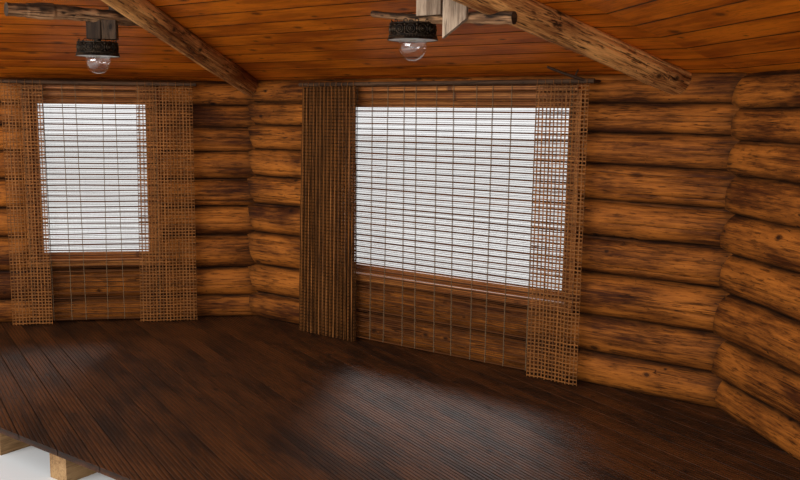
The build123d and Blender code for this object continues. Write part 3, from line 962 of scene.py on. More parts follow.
def split_at(profile, shares):
    """Adds a point to an outline wherever it passes one of some shares."""
    made = []
    for (share, lift), (next_share, next_lift) in zip(profile, profile[1:] + profile[:1]):
        made.append((share, lift))
        between = [s for s in shares if min(share, next_share) < s < max(share, next_share)]
        for s in sorted(between, reverse=next_share < share):
            made.append((s, lift + (next_lift - lift) * (s - share) / (next_share - share)))
    return made


# Margin at a slope's edges, thinnest strip that is laid, and dirt in the joints
edge_margin = 1e-5
thinnest_board = 0.004
joint_dirt = 0.9


def lay_boards(maker, corners, along, profile, width, height_at, seed, start=0.0, dark=(-1.0, -1.0)):
    """Lays boards over a flat polygon; profile gives each board's outline as shares of width and lifts.

    Points whose lifts lie between the two of dark are dirty.
    """
    along = np.array(along, float)
    across = np.array([-along[1], along[0]])
    offsets = [np.dot(across, corner) for corner in corners]
    low, high = min(offsets) + edge_margin, max(offsets) - edge_margin
    first = int((low - start) // width)
    for board in range(first, int((high - start) // width) + 1):
        lines = []
        turns = [(offset - start) / width - board for offset in offsets]
        for share, lift in split_at(profile, turns):
            offset = min(max(start + (board + share) * width, low), high)
            lines.append((offset, span_across(corners, along, across, offset), lift))
        reached = [offset for offset, _, _ in lines]
        if any(span is None for _, span, _ in lines) or max(reached) - min(reached) < thinnest_board:
            continue
        if reached[0] == reached[-1] == low:
            continue
        rings = np.zeros((2, len(lines), 3))
        grain = np.zeros((2, len(lines), 3))
        for column, (offset, span, lift) in enumerate(lines):
            for end, place in enumerate(span):
                plan = along * place + across * offset
                rings[end, column] = (*plan, height_at(plan) + lift)
                grain[end, column] = (place + 3.7 * board + seed, offset + 1.37 * board, lift + 0.7 * board)
        shade_and_grime = [[joint_dirt * (dark[0] < lift < dark[1]) for _, _, lift in lines]] * 2
        maker.tube(rings, grain, shade_and_grime=shade_and_grime, smooth=False)


def slope_outline(wall, low_u, high_u):
    """Plan of one roof slope, cut at the open front."""
    widen = tan(wall_turn / 2)
    corners = [wall.place(low_u - eaves * widen, eaves, 0)[:2],
               wall.place(high_u + eaves * widen, eaves, 0)[:2],
               wall.place((low_u + high_u) / 2, -inradius, 0)[:2]]
    return clip_polygon(corners, np.array([0.0, -1.0]), -front_y)


slopes = {
    "centre": (centre_wall, slope_outline(centre_wall, 0.0, room_side)),
    "left": (left_wall, slope_outline(left_wall, -room_side, 0.0)),
    "right": (right_wall, slope_outline(right_wall, 0.0, room_side)),
}


def slope_height(wall, lift):
    """Height over the plan of one slope."""
    def height_at(plan):
        outside = np.dot(plan - wall.corner[:2], wall.out[:2])
        return floor_z + ceiling_height - roof_rise * outside + lift
    return height_at


def finish(name):
    """A material made by the finishes operator."""
    return bpy.data.materials[name]


class CABIN_OT_finishes(bpy.types.Operator):
    """Make the shared node groups and the wood, cane, reed, metal and glass materials"""
    bl_idname = "cabin.finishes"
    bl_label = "Finishes"

    def execute(self, context):
        for make in (make_fibre_group, make_knot_group, make_board_knot_group, make_grime_and_shade_group,
                     make_ring_group):
            make()
        self.make_woods(context.scene.cabin_logs, context.scene.cabin_boards)
        self.make_joist_material()
        self.make_cane(context.scene.cabin_windows.cane)
        self.make_reed(context.scene.cabin_curtains.reed)
        self.make_metal()
        self.make_glass()
        return {"FINISHED"}

    def make_woods(self, logs, boards):
        """Round logs, boards, window wood and the weathered pieces."""
        knot = linear(32, 15, 7)
        wood_material("Log skin", logs.light, logs.dark, knot, relief=0.004, pits=0.85, dash=0.6,
                      rough=(0.6, 0.85), Specular_IOR_Level=0.12)
        end_material("Log end", linear(158, 114, 70), linear(92, 60, 34))
        # The rafter colours are a lighter copy of the log colours: painted light
        wood_material("Rafter skin", logs.rafter_light, logs.rafter_dark, knot, relief=0.007, pits=0.95,
                      dash=0.85, hair=0.95, Coat_Weight=0.04, Coat_Roughness=0.35)
        wood_material("Ceiling board", boards.ceiling_light, boards.ceiling_dark, linear(78, 34, 12),
                      offset=scattered((0.55, 0.19, 1.0), 0.016), stretch=1.8, relief=0.0008,
                      rough=(0.42, 0.6), fine_share=0.35, hair=0.6, dash=0.3, Specular_IOR_Level=0.14,
                      Coat_Weight=0.03, Coat_Roughness=0.3)
        wood_material("Floor board", boards.floor_light, boards.floor_dark, linear(24, 13, 8),
                      offset=scattered((0.6, 0.2, 1.0), 0.012), relief=0.0016, rough=(0.42, 0.65),
                      fine_share=0.6, dash=0.5, Specular_IOR_Level=0.25)
        wood_material("Roof board", linear(150, 142, 130), linear(88, 80, 70), linear(48, 40, 34),
                      offset=scattered((0.7, 0.2, 1.0), 0.016), relief=0.003, rough=(0.75, 0.95))
        wood_material("Window pine", linear(198, 126, 58), linear(146, 80, 30), linear(84, 42, 16),
                      offset=scattered((0.5, 0.12, 1.0), 0.012), relief=0.0008, rough=(0.4, 0.6), hair=0.3,
                      Specular_IOR_Level=0.2, Coat_Weight=0.04, Coat_Roughness=0.3)
        wood_material("Weathered timber", linear(192, 168, 142), linear(112, 92, 74), linear(44, 32, 24),
                      offset=scattered((0.4, 0.15, 1.0), 0.012), relief=0.003, rough=(0.7, 0.9))
        wood_material("Dark timber", linear(86, 66, 48), linear(42, 31, 23), linear(20, 14, 10),
                      offset=scattered((0.4, 0.15, 1.0), 0.012), relief=0.003, rough=(0.65, 0.9))
        wood_material("Gnarled bark", linear(186, 140, 98), linear(84, 54, 34), linear(26, 16, 10),
                      relief=0.008, rough=(0.6, 0.9), pits=0.9, dash=0.8, hair=0.95)
        wood_material("Rod bark", linear(92, 64, 42), linear(40, 26, 17), linear(20, 12, 8), relief=0.003)

    def make_joist_material(self):
        """Sawn timber of the joists, whose node carries no grain of its own."""
        def grain(graph):
            parts = graph.parts(graph.object_place())
            return graph.joined(X=parts["Y"], Y=parts["X"], Z=parts["Z"])
        wood_material("Sawn joist", linear(170, 134, 92), linear(112, 80, 50), linear(56, 36, 22),
                      grain=grain, offset=scattered((0.8, 0.2, 1.0), 0.02), shade_and_grime=False, rough=(0.7, 0.9))

    def make_cane(self, cane):
        """Split cane: brown, darker in streaks, each slat a little different; and its cords."""
        _, graph, shader = new_material("Cane", Roughness=0.75, Specular_IOR_Level=0.12)
        grain = graph.attribute("grain")
        slat = graph.noise(grain, (0.4, 190.0, 0.0), 1.0)
        fibre = graph.noise(grain, (7.0, 500.0, 500.0), 3.0)
        joints = graph.step(graph.noise(grain, (9.0, 60.0, 60.0), 1.0), 0.62, 0.7)
        tone = graph.times_plus(slat, 0.75, graph.times(fibre, 0.3))
        light, dark = toned(cane, 1.75), toned(cane, 0.45)
        shown = graph.mix(graph.step(tone, 0.3, 0.75), rgba(dark), rgba(light))
        graph.fill(shader, {"Base Color": graph.mix(graph.times(joints, 0.5), shown, rgba(dark))})
        bump_into(graph, shader, fibre, 0.0006)
        _, graph, shader = new_material("Blind cord", Roughness=0.9)
        twist = graph.noise(graph.attribute("grain"), (900.0, 300.0, 300.0), 1.0)
        shown = graph.mix(twist, rgba(linear(70, 50, 32)), rgba(linear(150, 120, 84)))
        graph.fill(shader, {"Base Color": shown})
        bump_into(graph, shader, twist, 0.0006)

    def make_reed(self, reed):
        """Woven reed with fine fibres and stained stretches, with painted shade deep in its folds and on
        the threads behind.
        """
        _, graph, shader = new_material("Reed", Roughness=0.7, Specular_IOR_Level=0.2)
        grain = graph.attribute("grain")
        fibre = graph.noise(grain, (12.0, 700.0, 300.0), 3.0)
        stain = graph.noise(grain, (3.5, 2.0, 2.0), 2.0)
        tone = graph.times_plus(stain, 0.8, graph.times(fibre, 0.35))
        shown = graph.mix(graph.step(tone, 0.32, 0.75), rgba(toned(reed, 0.25)), rgba(toned(reed, 1.5)))
        # Painted shade from the mesh's darkening value: deep in the pleats and on the threads behind the
        # reeds
        deep = graph.times(graph.attribute("shade_and_grime", "Fac"), 0.94)
        graph.fill(shader, {"Base Color": graph.mix(deep, shown, rgba(toned(reed, 0.1)))})
        bump_into(graph, shader, fibre, 0.0005)

    def make_metal(self):
        """Aged dark metal, rubbed brighter in patches, the rim's pale underside and the bulb's socket."""
        for name, low, high, metal, rough in (
            ("Aged metal", linear(24, 20, 17), linear(84, 70, 54), 0.8, 0.35),
            ("Rim enamel", linear(196, 200, 196), linear(236, 236, 228), 0.0, 0.18),
            ("Lamp socket", linear(180, 170, 150), linear(220, 212, 196), 0.0, 0.4),
        ):
            _, graph, shader = new_material(name, Metallic=metal)
            place = graph.attribute("grain")
            patch = graph.even_noise(place, 26.0, 4.0, 0.65)
            speck = graph.even_noise(place, 240.0, 2.0)
            shown = graph.mix(graph.step(patch, 0.4, 0.72), rgba(low), rgba(high))
            graph.fill(shader, {"Base Color": shown, "Roughness": graph.times_plus(speck, 0.3, rough)})
            bump_into(graph, shader, speck, 0.0004, 0.5)

    def make_glass(self):
        """Clear glass: only its reflections and a little dust are opaque."""
        for name, rim in (("Pane glass", 0.8), ("Globe glass", 0.95)):
            _, graph, shader = new_material(name, Metallic=1.0, Roughness=0.02)
            dust = graph.even_noise(graph.object_place(), 9.0, 3.0)
            shown = graph.mix(dust, (1.0, 1.0, 1.0, 1.0), (0.93, 0.96, 0.95, 1.0))
            graph.fill(shader, {"Base Color": shown})
            slant = graph.node("ShaderNodeLayerWeight", {"Blend": 0.5}).outputs["Facing"]
            dull = graph.times_plus(graph.step(dust, 0.45, 0.75), 0.04, 0.05)
            reflecting = graph.times_plus(graph.math("POWER", slant, 4.0), rim, dull)
            graph.fill(shader, {"Alpha": reflecting})


def stretches(low, high, window=None):
    """One stretch of a log, or the two beside the window that cuts it."""
    if window is None:
        return [(low, high)]
    _, u0, u1 = window
    return [(low, u0 - lining - fit_gap), (u1 + lining + fit_gap, high)]


class CABIN_OT_wall_logs(bpy.types.Operator):
    """Build the round logs of the three walls, each scribed to the one below"""
    bl_idname = "cabin.wall_logs"
    bl_label = "Wall logs"

    first_cut_log = 4
    last_cut_log = 8
    end_step = 0.002
    past_side_wall = 0.3
    corner_start = 0.06

    def execute(self, context):
        settings = context.scene.cabin_logs
        past = log_end_past_corner
        side_reach = room_side + self.past_side_wall
        centre_rows = log_forms(centre_log_seed, 0.0, -past, room_side + past, settings)
        left_rows = log_forms(left_log_seed, side_wall_drop, -side_reach, 0.0, settings)
        right_rows = log_forms(right_log_seed, side_wall_drop, 0.0, side_reach, settings)
        for index in range(len(centre_rows)):
            cut = self.first_cut_log <= index <= self.last_cut_log
            maker = Maker()
            whole = (-past + self.end_step, room_side + past - self.end_step)
            for span in stretches(*whole, centre_window if cut else None):
                add_log(maker, centre_wall, centre_rows, index, span, settings, centre_window, seed=1)
            self.build(maker, "centre_wall", "log", index)

            maker = Maker()
            at_front, at_corner = self.side_ends(left_wall, centre_rows)
            front = front_cut(left_wall, groove_depth)
            spans = stretches(front, -self.corner_start, left_window if cut else None)
            for span in spans:
                ends = {False: at_front} if span is spans[0] else {}
                if span is spans[-1]:
                    ends[True] = at_corner
                add_log(maker, left_wall, left_rows, index, span, settings, left_window, ends, 20)
            at_front, at_corner = self.side_ends(right_wall, centre_rows)
            span = (self.corner_start, front_cut(right_wall, groove_depth))
            add_log(maker, right_wall, right_rows, index, span, settings, None,
                    {False: at_corner, True: at_front}, 40)
            self.build(maker, "side_wall", "logs", index)
        return {"FINISHED"}

    def side_ends(self, wall, centre_rows):
        """Where a side wall's lines end: in the open front, and against the middle wall."""
        return lambda v, z: front_cut(wall, v), lambda v, z: corner_scribe(wall, v, z, centre_rows)

    def build(self, maker, wall_name, word, index):
        """One node's logs, the sill log first."""
        node = f"{wall_name}_{word}_{index}" if index else f"{wall_name}_sill_{word}"
        materials = [finish("Log skin"), finish("Log end")]
        maker.build(f"{node}_peeled", materials, "wall_log", [node])


def rafter_way(foot_x):
    """Foot of a rafter's axis and the unit direction that it climbs in."""
    foot = np.array([foot_x, wall_y, floor_z + rafter_height])
    return foot, unit([-foot_x, -inradius, inradius * roof_rise])


left_foot, left_way = rafter_way(-room_side / 2)
right_foot, right_way = rafter_way(room_side / 2 - right_rafter_inset)


class CABIN_OT_rafters(bpy.types.Operator):
    """Build the two round rafters, planed on top to the ceiling"""
    bl_idname = "cabin.rafters"
    bl_label = "Rafters"

    knot_reach = 3.6
    knot_spacing = 0.16

    def execute(self, context):
        gnarl = context.scene.cabin_logs.gnarl
        materials = [finish("Rafter skin"), finish("Log end")]
        for name, foot, way in (("left", left_foot, left_way), ("right", right_foot, right_way)):
            form = LogForm(rafter_seed + len(name), rafter_radius, 0.0, self.knot_reach, gnarl,
                           self.knot_spacing)
            maker = Maker()
            add_pole(maker, form, foot, way, -rafter_foot_housing, front_depth / abs(way[1]), columns=56,
                     step=0.02, checks=11, depth=0.012, below_ceiling=True, cut_front=True)
            maker.build(f"rafter_{name}_peeled", materials, "rafter_log", [f"rafter_{name}"])
        return {"FINISHED"}


def board_profile(thickness, joint, gap, width):
    """Outline of a board with rounded lower edges, as shares of its width and lifts."""
    rounding, rounding_width = 0.0012, 0.0035
    edge, side, face = gap / width, (gap + joint) / width, (gap + joint + rounding_width) / width
    return [(edge, joint), (edge, thickness), (1 - edge, thickness), (1 - edge, joint),
            (1 - side, rounding), (1 - face, 0.0), (face, 0.0), (side, rounding)]


class CABIN_OT_boards(bpy.types.Operator):
    """Lay the ceiling, roof and floor boards"""
    bl_idname = "cabin.boards"
    bl_label = "Boards"

    ceiling_joint = 0.0035
    ceiling_gap = 0.0012
    first_ceiling_board = 0.06

    def execute(self, context):
        settings = context.scene.cabin_boards
        for seed, (name, (wall, outline)) in enumerate(slopes.items()):
            self.lay_ceiling(name, wall, outline, settings.ceiling_width, seed)
            self.lay_roof(name, wall, outline, seed)
        self.lay_floor(settings)
        dress("floor_joists", finish("Sawn joist"))
        return {"FINISHED"}

    def lay_ceiling(self, name, wall, outline, width, seed):
        """Varnished boards along one wall, with open joints between them."""
        maker = Maker()
        profile = board_profile(ceiling_thickness, self.ceiling_joint, self.ceiling_gap, width)
        start = np.dot(wall.corner[:2], wall.out[:2]) - self.first_ceiling_board
        lay_boards(maker, outline, wall.along[:2], profile, width, slope_height(wall, 0.0), 11.0 * seed,
                   start, dark=(0.001, 0.02))
        maker.build(f"ceiling_{name}_boards", [finish("Ceiling board")], "ceiling_board",
                    [f"ceiling_{name}"])

    def lay_roof(self, name, wall, outline, seed):
        """Weathered boards up the slope with battens over their joints."""
        maker = Maker()
        width, base = roof_board_width, roof_board_thickness
        board = [(0.01, 0.0), (0.01, base), (0.99, base), (0.99, 0.0)]
        half, top = roof_batten_width / width / 2, base + roof_batten_height
        chamfer, chamfer_drop = 0.015, 0.003
        batten = [(-half, base), (-half, top - chamfer_drop), (-half + chamfer, top),
                  (half - chamfer, top), (half, top - chamfer_drop), (half, base)]
        start = np.dot(wall.corner[:2], wall.along[:2])
        for profile in (board, batten):
            lay_boards(maker, outline, -wall.out[:2], profile, width,
                       slope_height(wall, ceiling_thickness), 40.0 + 9 * seed, start)
        maker.build(f"roof_{name}_boards", [finish("Roof board")], "roof_board", [f"roof_{name}"])

    def lay_floor(self, settings):
        """Ribbed boards across the bay, at half a wall's turn."""
        maker = Maker()
        width = settings.floor_width
        far_x = room_side / 2 + room_side * cos(wall_turn)
        outline = [np.array(corner) for corner in (
            (-room_side / 2, wall_y), (-far_x, front_y), (far_x, front_y), (room_side / 2, wall_y))]
        ribs = int(width / settings.floor_rib)
        groove, edge, edge_drop = 0.0030, 0.012, 0.004
        top = [(edge, -edge_drop)]
        for index in range(ribs):
            top += [((index + 0.20) / ribs, 0.0), ((index + 0.80) / ribs, 0.0)]
            if index < ribs - 1:
                top.append(((index + 1) / ribs, -groove))
        top.append((1 - edge, -edge_drop))
        profile = [(edge, -floor_thickness), *top, (1 - edge, -floor_thickness)]
        way = (cos(wall_turn / 2), -sin(wall_turn / 2))
        lay_boards(maker, outline, way, profile[::-1], width, lambda plan: floor_z, 70.0,
                   dark=(-0.01, -0.001))
        maker.build("floor_ribbed_boards", [finish("Floor board")], "floor_board", ["floor_deck"])


class CABIN_OT_windows(bpy.types.Operator):
    """Build the window frames from planed pine and dress the panes"""
    bl_idname = "cabin.windows"
    bl_label = "Windows"

    def execute(self, context):
        for seed, (name, window) in enumerate(windows.items()):
            self.frame(name, window, 10.0 * seed)
            dress(f"{name}_window_glass", finish("Pane glass"))
        return {"FINISHED"}

    def frame(self, name, window, seed):
        """Lining, casings, sash and sill board of one window."""
        wall, u0, u1 = window
        z0, z1 = window_bottom, window_top
        maker = Maker()

        def rim(width, v0, v1, inward=False, bevel=0.003):
            """Four bars round the opening, the upright ones between the level ones."""
            nonlocal seed
            a, b = (0.0, -width) if inward else (width, 0.0)
            low_u, high_u, low_z, high_z = u0 - a, u1 + a, z0 - a, z1 + a
            for low, high, along in (
                ((low_u, v0, low_z), (high_u, v1, z0 - b), 0),
                ((low_u, v0, z1 + b), (high_u, v1, high_z), 0),
                ((low_u, v0, z0 - b), (u0 - b, v1, z1 + b), 2),
                ((u1 + b, v0, z0 - b), (high_u, v1, z1 + b), 2),
            ):
                seed += 1
                add_bar(maker, (low, high), along, bevel, seed, place=wall.place)

        rim(lining, -casing_back, lining_outer_face)
        rim(casing_width, -casing_back - casing_thickness, -casing_back, bevel=0.006)
        rim(outer_casing_width, lining_outer_face, lining_outer_face + outer_casing_thickness, bevel=0.005)
        rim(sash_width, sash_from_groove, sash_from_groove + sash_depth, True, 0.005)
        sill = ((u0 - casing_width, -sill_board_face, z0 - sill_board_height),
                (u1 + casing_width, -sill_board_back, z0))
        add_bar(maker, sill, 0, 0.005, seed + 7, place=wall.place)
        maker.build(f"{name}_window_pine_frame", [finish("Window pine")], "window_wood",
                    [f"{name}_window_frame"])


class CABIN_OT_blinds(bpy.types.Operator):
    """Hang the cane blinds: slats, cords and headboards"""
    bl_idname = "cabin.blinds"
    bl_label = "Blinds"

    broad_every = 3
    broad_slat = (0.0102, 0.0042)
    narrow_slat = (0.0026, 0.0024)
    cord_section = (0.0032, 0.0014)
    slat_points = 15
    cord_points = 30

    def execute(self, context):
        settings = context.scene.cabin_windows
        for seed, (name, window) in enumerate(windows.items()):
            self.blind(name, window, settings, seed)
        return {"FINISHED"}

    def blind(self, name, window, settings, seed):
        """One blind, with every third slat a broad one."""
        wall, u0, u1 = window
        rng = np.random.default_rng(blind_seed + seed)
        maker = Maker()
        low, high = u0 - blind_past_window, u1 + blind_past_window
        top = headboard_bottom + headboard_height
        front, back = -blind_face, -blind_face + blind_thickness
        runs = np.linspace(0, 1, self.slat_points)
        for slat in range(int((top - blind_bottom) / settings.slat_step)):
            height, thickness = self.narrow_slat if slat % self.broad_every else self.broad_slat
            height *= rng.uniform(0.85, 1.15)
            u = low + rng.uniform(0, 0.012) + runs * (high - low - rng.uniform(0.002, 0.02))
            level = blind_bottom + (slat + 0.5) * settings.slat_step
            bow = 0.0022 * np.sin(runs * rng.uniform(3, 9) + rng.uniform(0, 6)) * rng.uniform(0.3, 1.0)
            z = level + bow + rng.uniform(-0.0008, 0.0008)
            v = front + blind_thickness / 2 + 0.001 * np.sin(runs * rng.uniform(4, 12) + rng.uniform(0, 6))
            ribbon(maker, wall.place(u, v, z), upward, wall.out, height, thickness, seed=slat + 200 * seed)
        drops = np.linspace(blind_bottom, top, self.cord_points)
        cords = int((high - low) / settings.cord_step)
        for cord in range(cords + 1):
            place = low + 0.02 + (high - low - 0.04) * cord / cords
            place += rng.uniform(-0.02, 0.02) * (0 < cord < cords)
            lean = rng.uniform(-0.012, 0.012)
            u = place + lean * (drops - blind_bottom) + 0.0012 * np.sin(drops * 31 + cord)
            for v in (front - 0.0005, back + 0.0005):
                ribbon(maker, wall.place(u, v, drops), wall.along, -wall.out, *self.cord_section, slot=1,
                       seed=cord)
        headboard = ((low, back + 0.001, headboard_bottom), (high, -0.012, top))
        add_bar(maker, headboard, 0, 0.003, 5 + seed, 2, place=wall.place)
        materials = [finish("Cane"), finish("Blind cord"), finish("Window pine")]
        maker.build(f"{name}_window_cane_blind", materials, "cane_blind", [f"{name}_window_blind"])


class Weave:
    """A hanging sheet of woven reed between two places along a wall."""

    flat_ripple = 0.005
    over_under = 0.0016
    upright_thickness = 0.0018
    level_thickness = 0.0016
    thread_width = 0.0075
    thread_back = -0.0020
    # Painted shade on the level threads, which lie behind the upright reeds
    thread_shade = 0.8
    hook_spacing = 0.055
    hook_from_edge = 0.012
    hook_radius = 0.0018

    def __init__(self, wall, span, settings, pleats, flare, seed):
        self.wall, self.span, self.pleats, self.flare = wall, span, pleats, flare
        self.depth = settings.pleat_depth if pleats else self.flat_ripple
        self.step, self.reed = settings.reed_step, settings.reed_width
        self.rng = np.random.default_rng(seed)
        self.phase = self.rng.uniform(0, 2 * pi, 4)
        fine = np.linspace(0, 1, 4001)
        u, v, _ = self.fold(fine, 1.0)
        run = np.concatenate([[0], np.cumsum(np.hypot(np.diff(u), np.diff(v)))])
        self.width = run[-1]
        self.share_at = lambda distance: np.interp(distance, run, fine)
        self.length = rod_height - rod_radius - fit_gap - curtain_hem

    def fold(self, share, height):
        """Place along the wall and from it, and how much painted shade the fold gives, for shares of width
        and height.
        """
        low, high = self.span
        hang = 1 - height
        u = low + share * (high - low) - self.flare * hang * (1 - share)
        if not self.pleats:
            ripple = np.sin(7 * share + 2 * hang + self.phase[0]) + 0.5 * np.sin(17 * share + self.phase[1])
            return u, -rod_from_groove + self.depth * ripple, 0.0 * share
        turn = 2 * pi * self.pleats * (share + 0.004 * np.sin(9 * share + 2.5 * hang + self.phase[2]))
        size = self.depth / 2 * (1 + 0.15 * np.sin(5 * share + 3 * hang + self.phase[3]))
        # The third value is painted shade, darkest deep in each pleat
        return u, -rod_from_groove + size * np.sin(turn), np.clip(0.45 + 0.75 * np.sin(turn), 0, 1)

    def frame(self, share, height):
        """Points, level direction, outward direction and painted shade in the folds."""
        small = 5e-4
        u, v, deep = self.fold(share, height)
        first, second = self.fold(share - small, height), self.fold(share + small, height)
        across = (self.wall.along * (second[0] - first[0])[..., None]
                  + self.wall.out * (second[1] - first[1])[..., None])
        across = across / np.linalg.norm(across, axis=-1, keepdims=True)
        normal = np.cross(upward, across)
        return self.wall.place(u, v, curtain_hem + height * self.length), across, normal, deep

    def upright(self, maker, distance, levels, width, over, seed):
        """One upright reed at a distance along the sheet."""
        share = np.full(len(levels), self.share_at(np.clip(distance, 0.003, self.width - 0.003)))
        share = share + 0.0005 * np.sin(levels * 23 + seed)
        trim = np.where(levels > 0.5, -0.008, 0.006) * self.rng.uniform(0, 1)
        ends = (levels == levels[0]) | (levels == levels[-1])
        path, across, normal, deep = self.frame(share, levels)
        path = path + normal * over[:, None]
        path[..., 2] += trim * ends
        ribbon(maker, path, across, -normal, width, self.upright_thickness, seed=seed, shade_and_grime=deep)

    def level(self, maker, height, count, lift, width, over, seed, dark=0.0):
        """One level reed right across the sheet."""
        share = self.share_at(np.linspace(0.001, self.width - 0.001, count))
        path, _, normal, deep = self.frame(share, np.full(count, height))
        path = path + normal * over[:, None]
        path[..., 2] += lift
        # Painted shade: the fold's shade, or the threads' fixed shade where that is darker
        shade_and_grime = np.maximum(deep, dark)
        ribbon(maker, path, upward, normal, width, self.level_thickness, seed=seed, shade_and_grime=shade_and_grime)

    def reed_size(self, low, high):
        """Width of the next reed, a little different each time."""
        return self.reed * self.rng.uniform(low, high)

    def weave_close(self, maker, rows):
        """Close upright reeds, sewn together by level threads that are painted dark as shade behind the
        reeds.
        """
        columns = int(self.width / (0.5 * self.step))
        levels = np.linspace(0, 1, rows // 2)
        for column in range(columns + 1):
            size = 2.0 * self.reed * self.rng.uniform(0.8, 1.15)
            self.upright(maker, column * self.width / columns, levels, size, 0 * levels, float(column))
        count = self.pleats * 10 + 1
        back = np.full(count, self.thread_back)
        for row in range(rows + 1):
            self.level(maker, (row + 0.5) / (rows + 1), count, 0.0, self.thread_width, back, row + 0.5,
                       self.thread_shade)

    def weave_open(self, maker, rows):
        """Pairs of reeds both ways, over and under each other."""
        columns = int(self.width / self.step)
        levels = np.arange(rows + 2) / (rows + 1)
        for column in range(columns + 1):
            over = self.over_under * np.where(np.arange(len(levels)) % 2 == column % 2, 1.0, -1.0)
            for side in (-1, 1):
                distance = column * self.width / columns + side * self.reed_size(0.5, 0.75)
                self.upright(maker, distance, levels, self.reed_size(0.8, 1.1), over, column + 0.4 * side)
        count = columns * 2 + 1
        places = np.arange(count) / 2
        for row in range(rows + 1):
            over = -self.over_under * np.cos(pi * (places + row))
            for side in (-1, 1):
                lift = side * self.reed * 0.6 + 0.0012 * np.sin(places * 1.9 + row * 2.1)
                self.level(maker, (row + 0.5) / (rows + 1), count, lift, self.reed_size(0.8, 1.1), over,
                           row + 0.3 * side)

    def build(self, name, node):
        """Weaves the sheet and hangs it from small rings on its rod."""
        maker = Maker()
        weave = self.weave_close if self.pleats else self.weave_open
        weave(maker, int(self.length / self.step))
        low, high = self.span
        hooks = int((high - low) / self.hook_spacing)
        for hook in range(hooks + 1):
            u = low + self.hook_from_edge + (high - low - 2 * self.hook_from_edge) * hook / hooks
            centre = self.wall.place(u, -rod_from_groove, rod_height - 0.004)
            torus(maker, centre, self.wall.along + 0.15 * self.wall.out, rod_radius + 0.005,
                  self.hook_radius)
        return maker.build(name, [finish("Reed")], "reed_curtain", [node])


# The forked twig: places along the wall, from it and up, and how the fork's shoot goes on
twig_low = (2.945, -0.150, rod_height + 0.004)
twig_high = (2.742, -0.262, 1.984)
twig_fork = (2.885, -0.178, rod_height + 0.022)
twig_shoot = (0.012, 0.02, 0.045)
twig_radius = 0.0095
shoot_radius = 0.006


class CABIN_OT_curtains(bpy.types.Operator):
    """Weave the reed curtains and put up their rods"""
    bl_idname = "cabin.curtains"
    bl_label = "Curtains"

    rod_past_curtains = 2 * rod_radius
    peg_from_end = 2 * peg_radius
    curtains = (
        ("pleated_reed_curtain", "centre_window_left_curtain", pleated_span, True, 0.045),
        ("right_reed_curtain", "centre_window_right_curtain", right_span, False, 0.0),
        ("near_reed_curtain", "left_window_near_curtain", near_span, False, 0.02),
        ("far_reed_curtain", "left_window_far_curtain", far_span, False, 0.0),
    )

    def execute(self, context):
        settings = context.scene.cabin_curtains
        rods = {"centre": self.rod("centre", centre_wall, pleated_span[0], right_span[1]),
                "left": self.rod("left", left_wall, far_span[0], near_span[1])}
        for name, node, span, pleated, flare in self.curtains:
            window = node.split("_")[0]
            pleats = settings.pleats if pleated else 0
            seed = curtain_seed + len(name)
            weave = Weave(windows[window][0], span, settings, pleats, flare, seed)
            made = weave.build(name, node)
        return {"FINISHED"}

    def twig(self, maker, wall):
        """A forked twig that lies on the right end of the middle rod."""
        fork = wall.place(*twig_fork)
        for seed, low, high, radius in (
            (twig_seed, wall.place(*twig_low), wall.place(*twig_high), twig_radius),
            (shoot_seed, fork, fork + np.array(twig_shoot), shoot_radius),
        ):
            long = np.linalg.norm(high - low)
            form = LogForm(seed, radius, 0.0, long, 2.5, 0.08)
            add_pole(maker, form, low, unit(high - low), 0.0, long, columns=12, step=0.012,
                     bend=gnarled(seed + 1, lambda u, reach=long: 1.15 - 0.35 * u / reach))

    def rod(self, name, wall, low, high):
        """A peeled branch on two pegs, a little longer than its curtains reach."""
        maker = Maker()
        low, high = low - self.rod_past_curtains, high + self.rod_past_curtains
        form = LogForm(rod_seed + len(name), rod_radius, low, high, 1.5, 0.25)
        start = wall.place(0.0, -rod_from_groove, rod_height)
        add_pole(maker, form, start, wall.along, low, high, columns=16, step=0.025)
        for place in (low + self.peg_from_end, high - self.peg_from_end):
            peg = LogForm(peg_seed + len(name), peg_radius, 0.0, 0.2, 1.2, 0.1)
            peg_start = wall.place(place, -rod_from_groove, rod_height)
            add_pole(maker, peg, peg_start, wall.out, 0.0, rod_from_groove + 0.01, columns=12)
        if name == "centre":
            self.twig(maker, wall)
        return maker.build(f"{name}_window_bark_rod", [finish("Rod bark"), finish("Dark timber")],
                           "rod_wood", [f"{name}_window_rod"])


# Lamps hang from poles that are let into the rafters
left_pole_radius = 0.045
left_pole_length = 0.900
left_pole_heading = radians(104)
left_lamp_along = 0.385
left_socket = left_foot + left_way * 1.560
left_pole_way = level_way(-left_pole_heading)
left_hold = left_socket + left_pole_way * left_lamp_along
block_height = 0.136
block_width = 0.175
block_thickness = 0.090
block_joint = 0.002
block_hold = left_hold - left_pole_way * 0.033
hanger_hold = left_socket + left_pole_way * 0.285
hanger_width = 0.040
hanger_thickness = 0.032
left_lamp_top = left_hold - upward * (block_height + neck_height + fit_gap)
right_root_radius = 0.033
right_tip_radius = 0.016
right_pole_run = 0.840
right_pole_rise = 0.060
right_past_rafter = 0.110
right_lamp_along = 0.577
right_slope = right_pole_rise / right_pole_run
right_socket = right_foot + right_way * 1.480
right_pole_start = right_socket + np.array(
    [right_past_rafter, 0.0, -0.090 - right_slope * right_past_rafter])
right_pole_length = hypot(right_pole_run, right_pole_rise)
right_pole_way = np.array([-right_pole_run, 0.0, right_pole_rise]) / right_pole_length
right_hold = right_pole_start + np.array([-1.0, 0.0, right_slope]) * right_lamp_along


def right_pole_radius(along):
    """Radius of the right pole, which tapers to its tip."""
    return right_root_radius + (right_tip_radius - right_root_radius) * along / right_pole_run


right_lamp_top = right_hold - upward * (right_pole_radius(right_lamp_along) + neck_height)

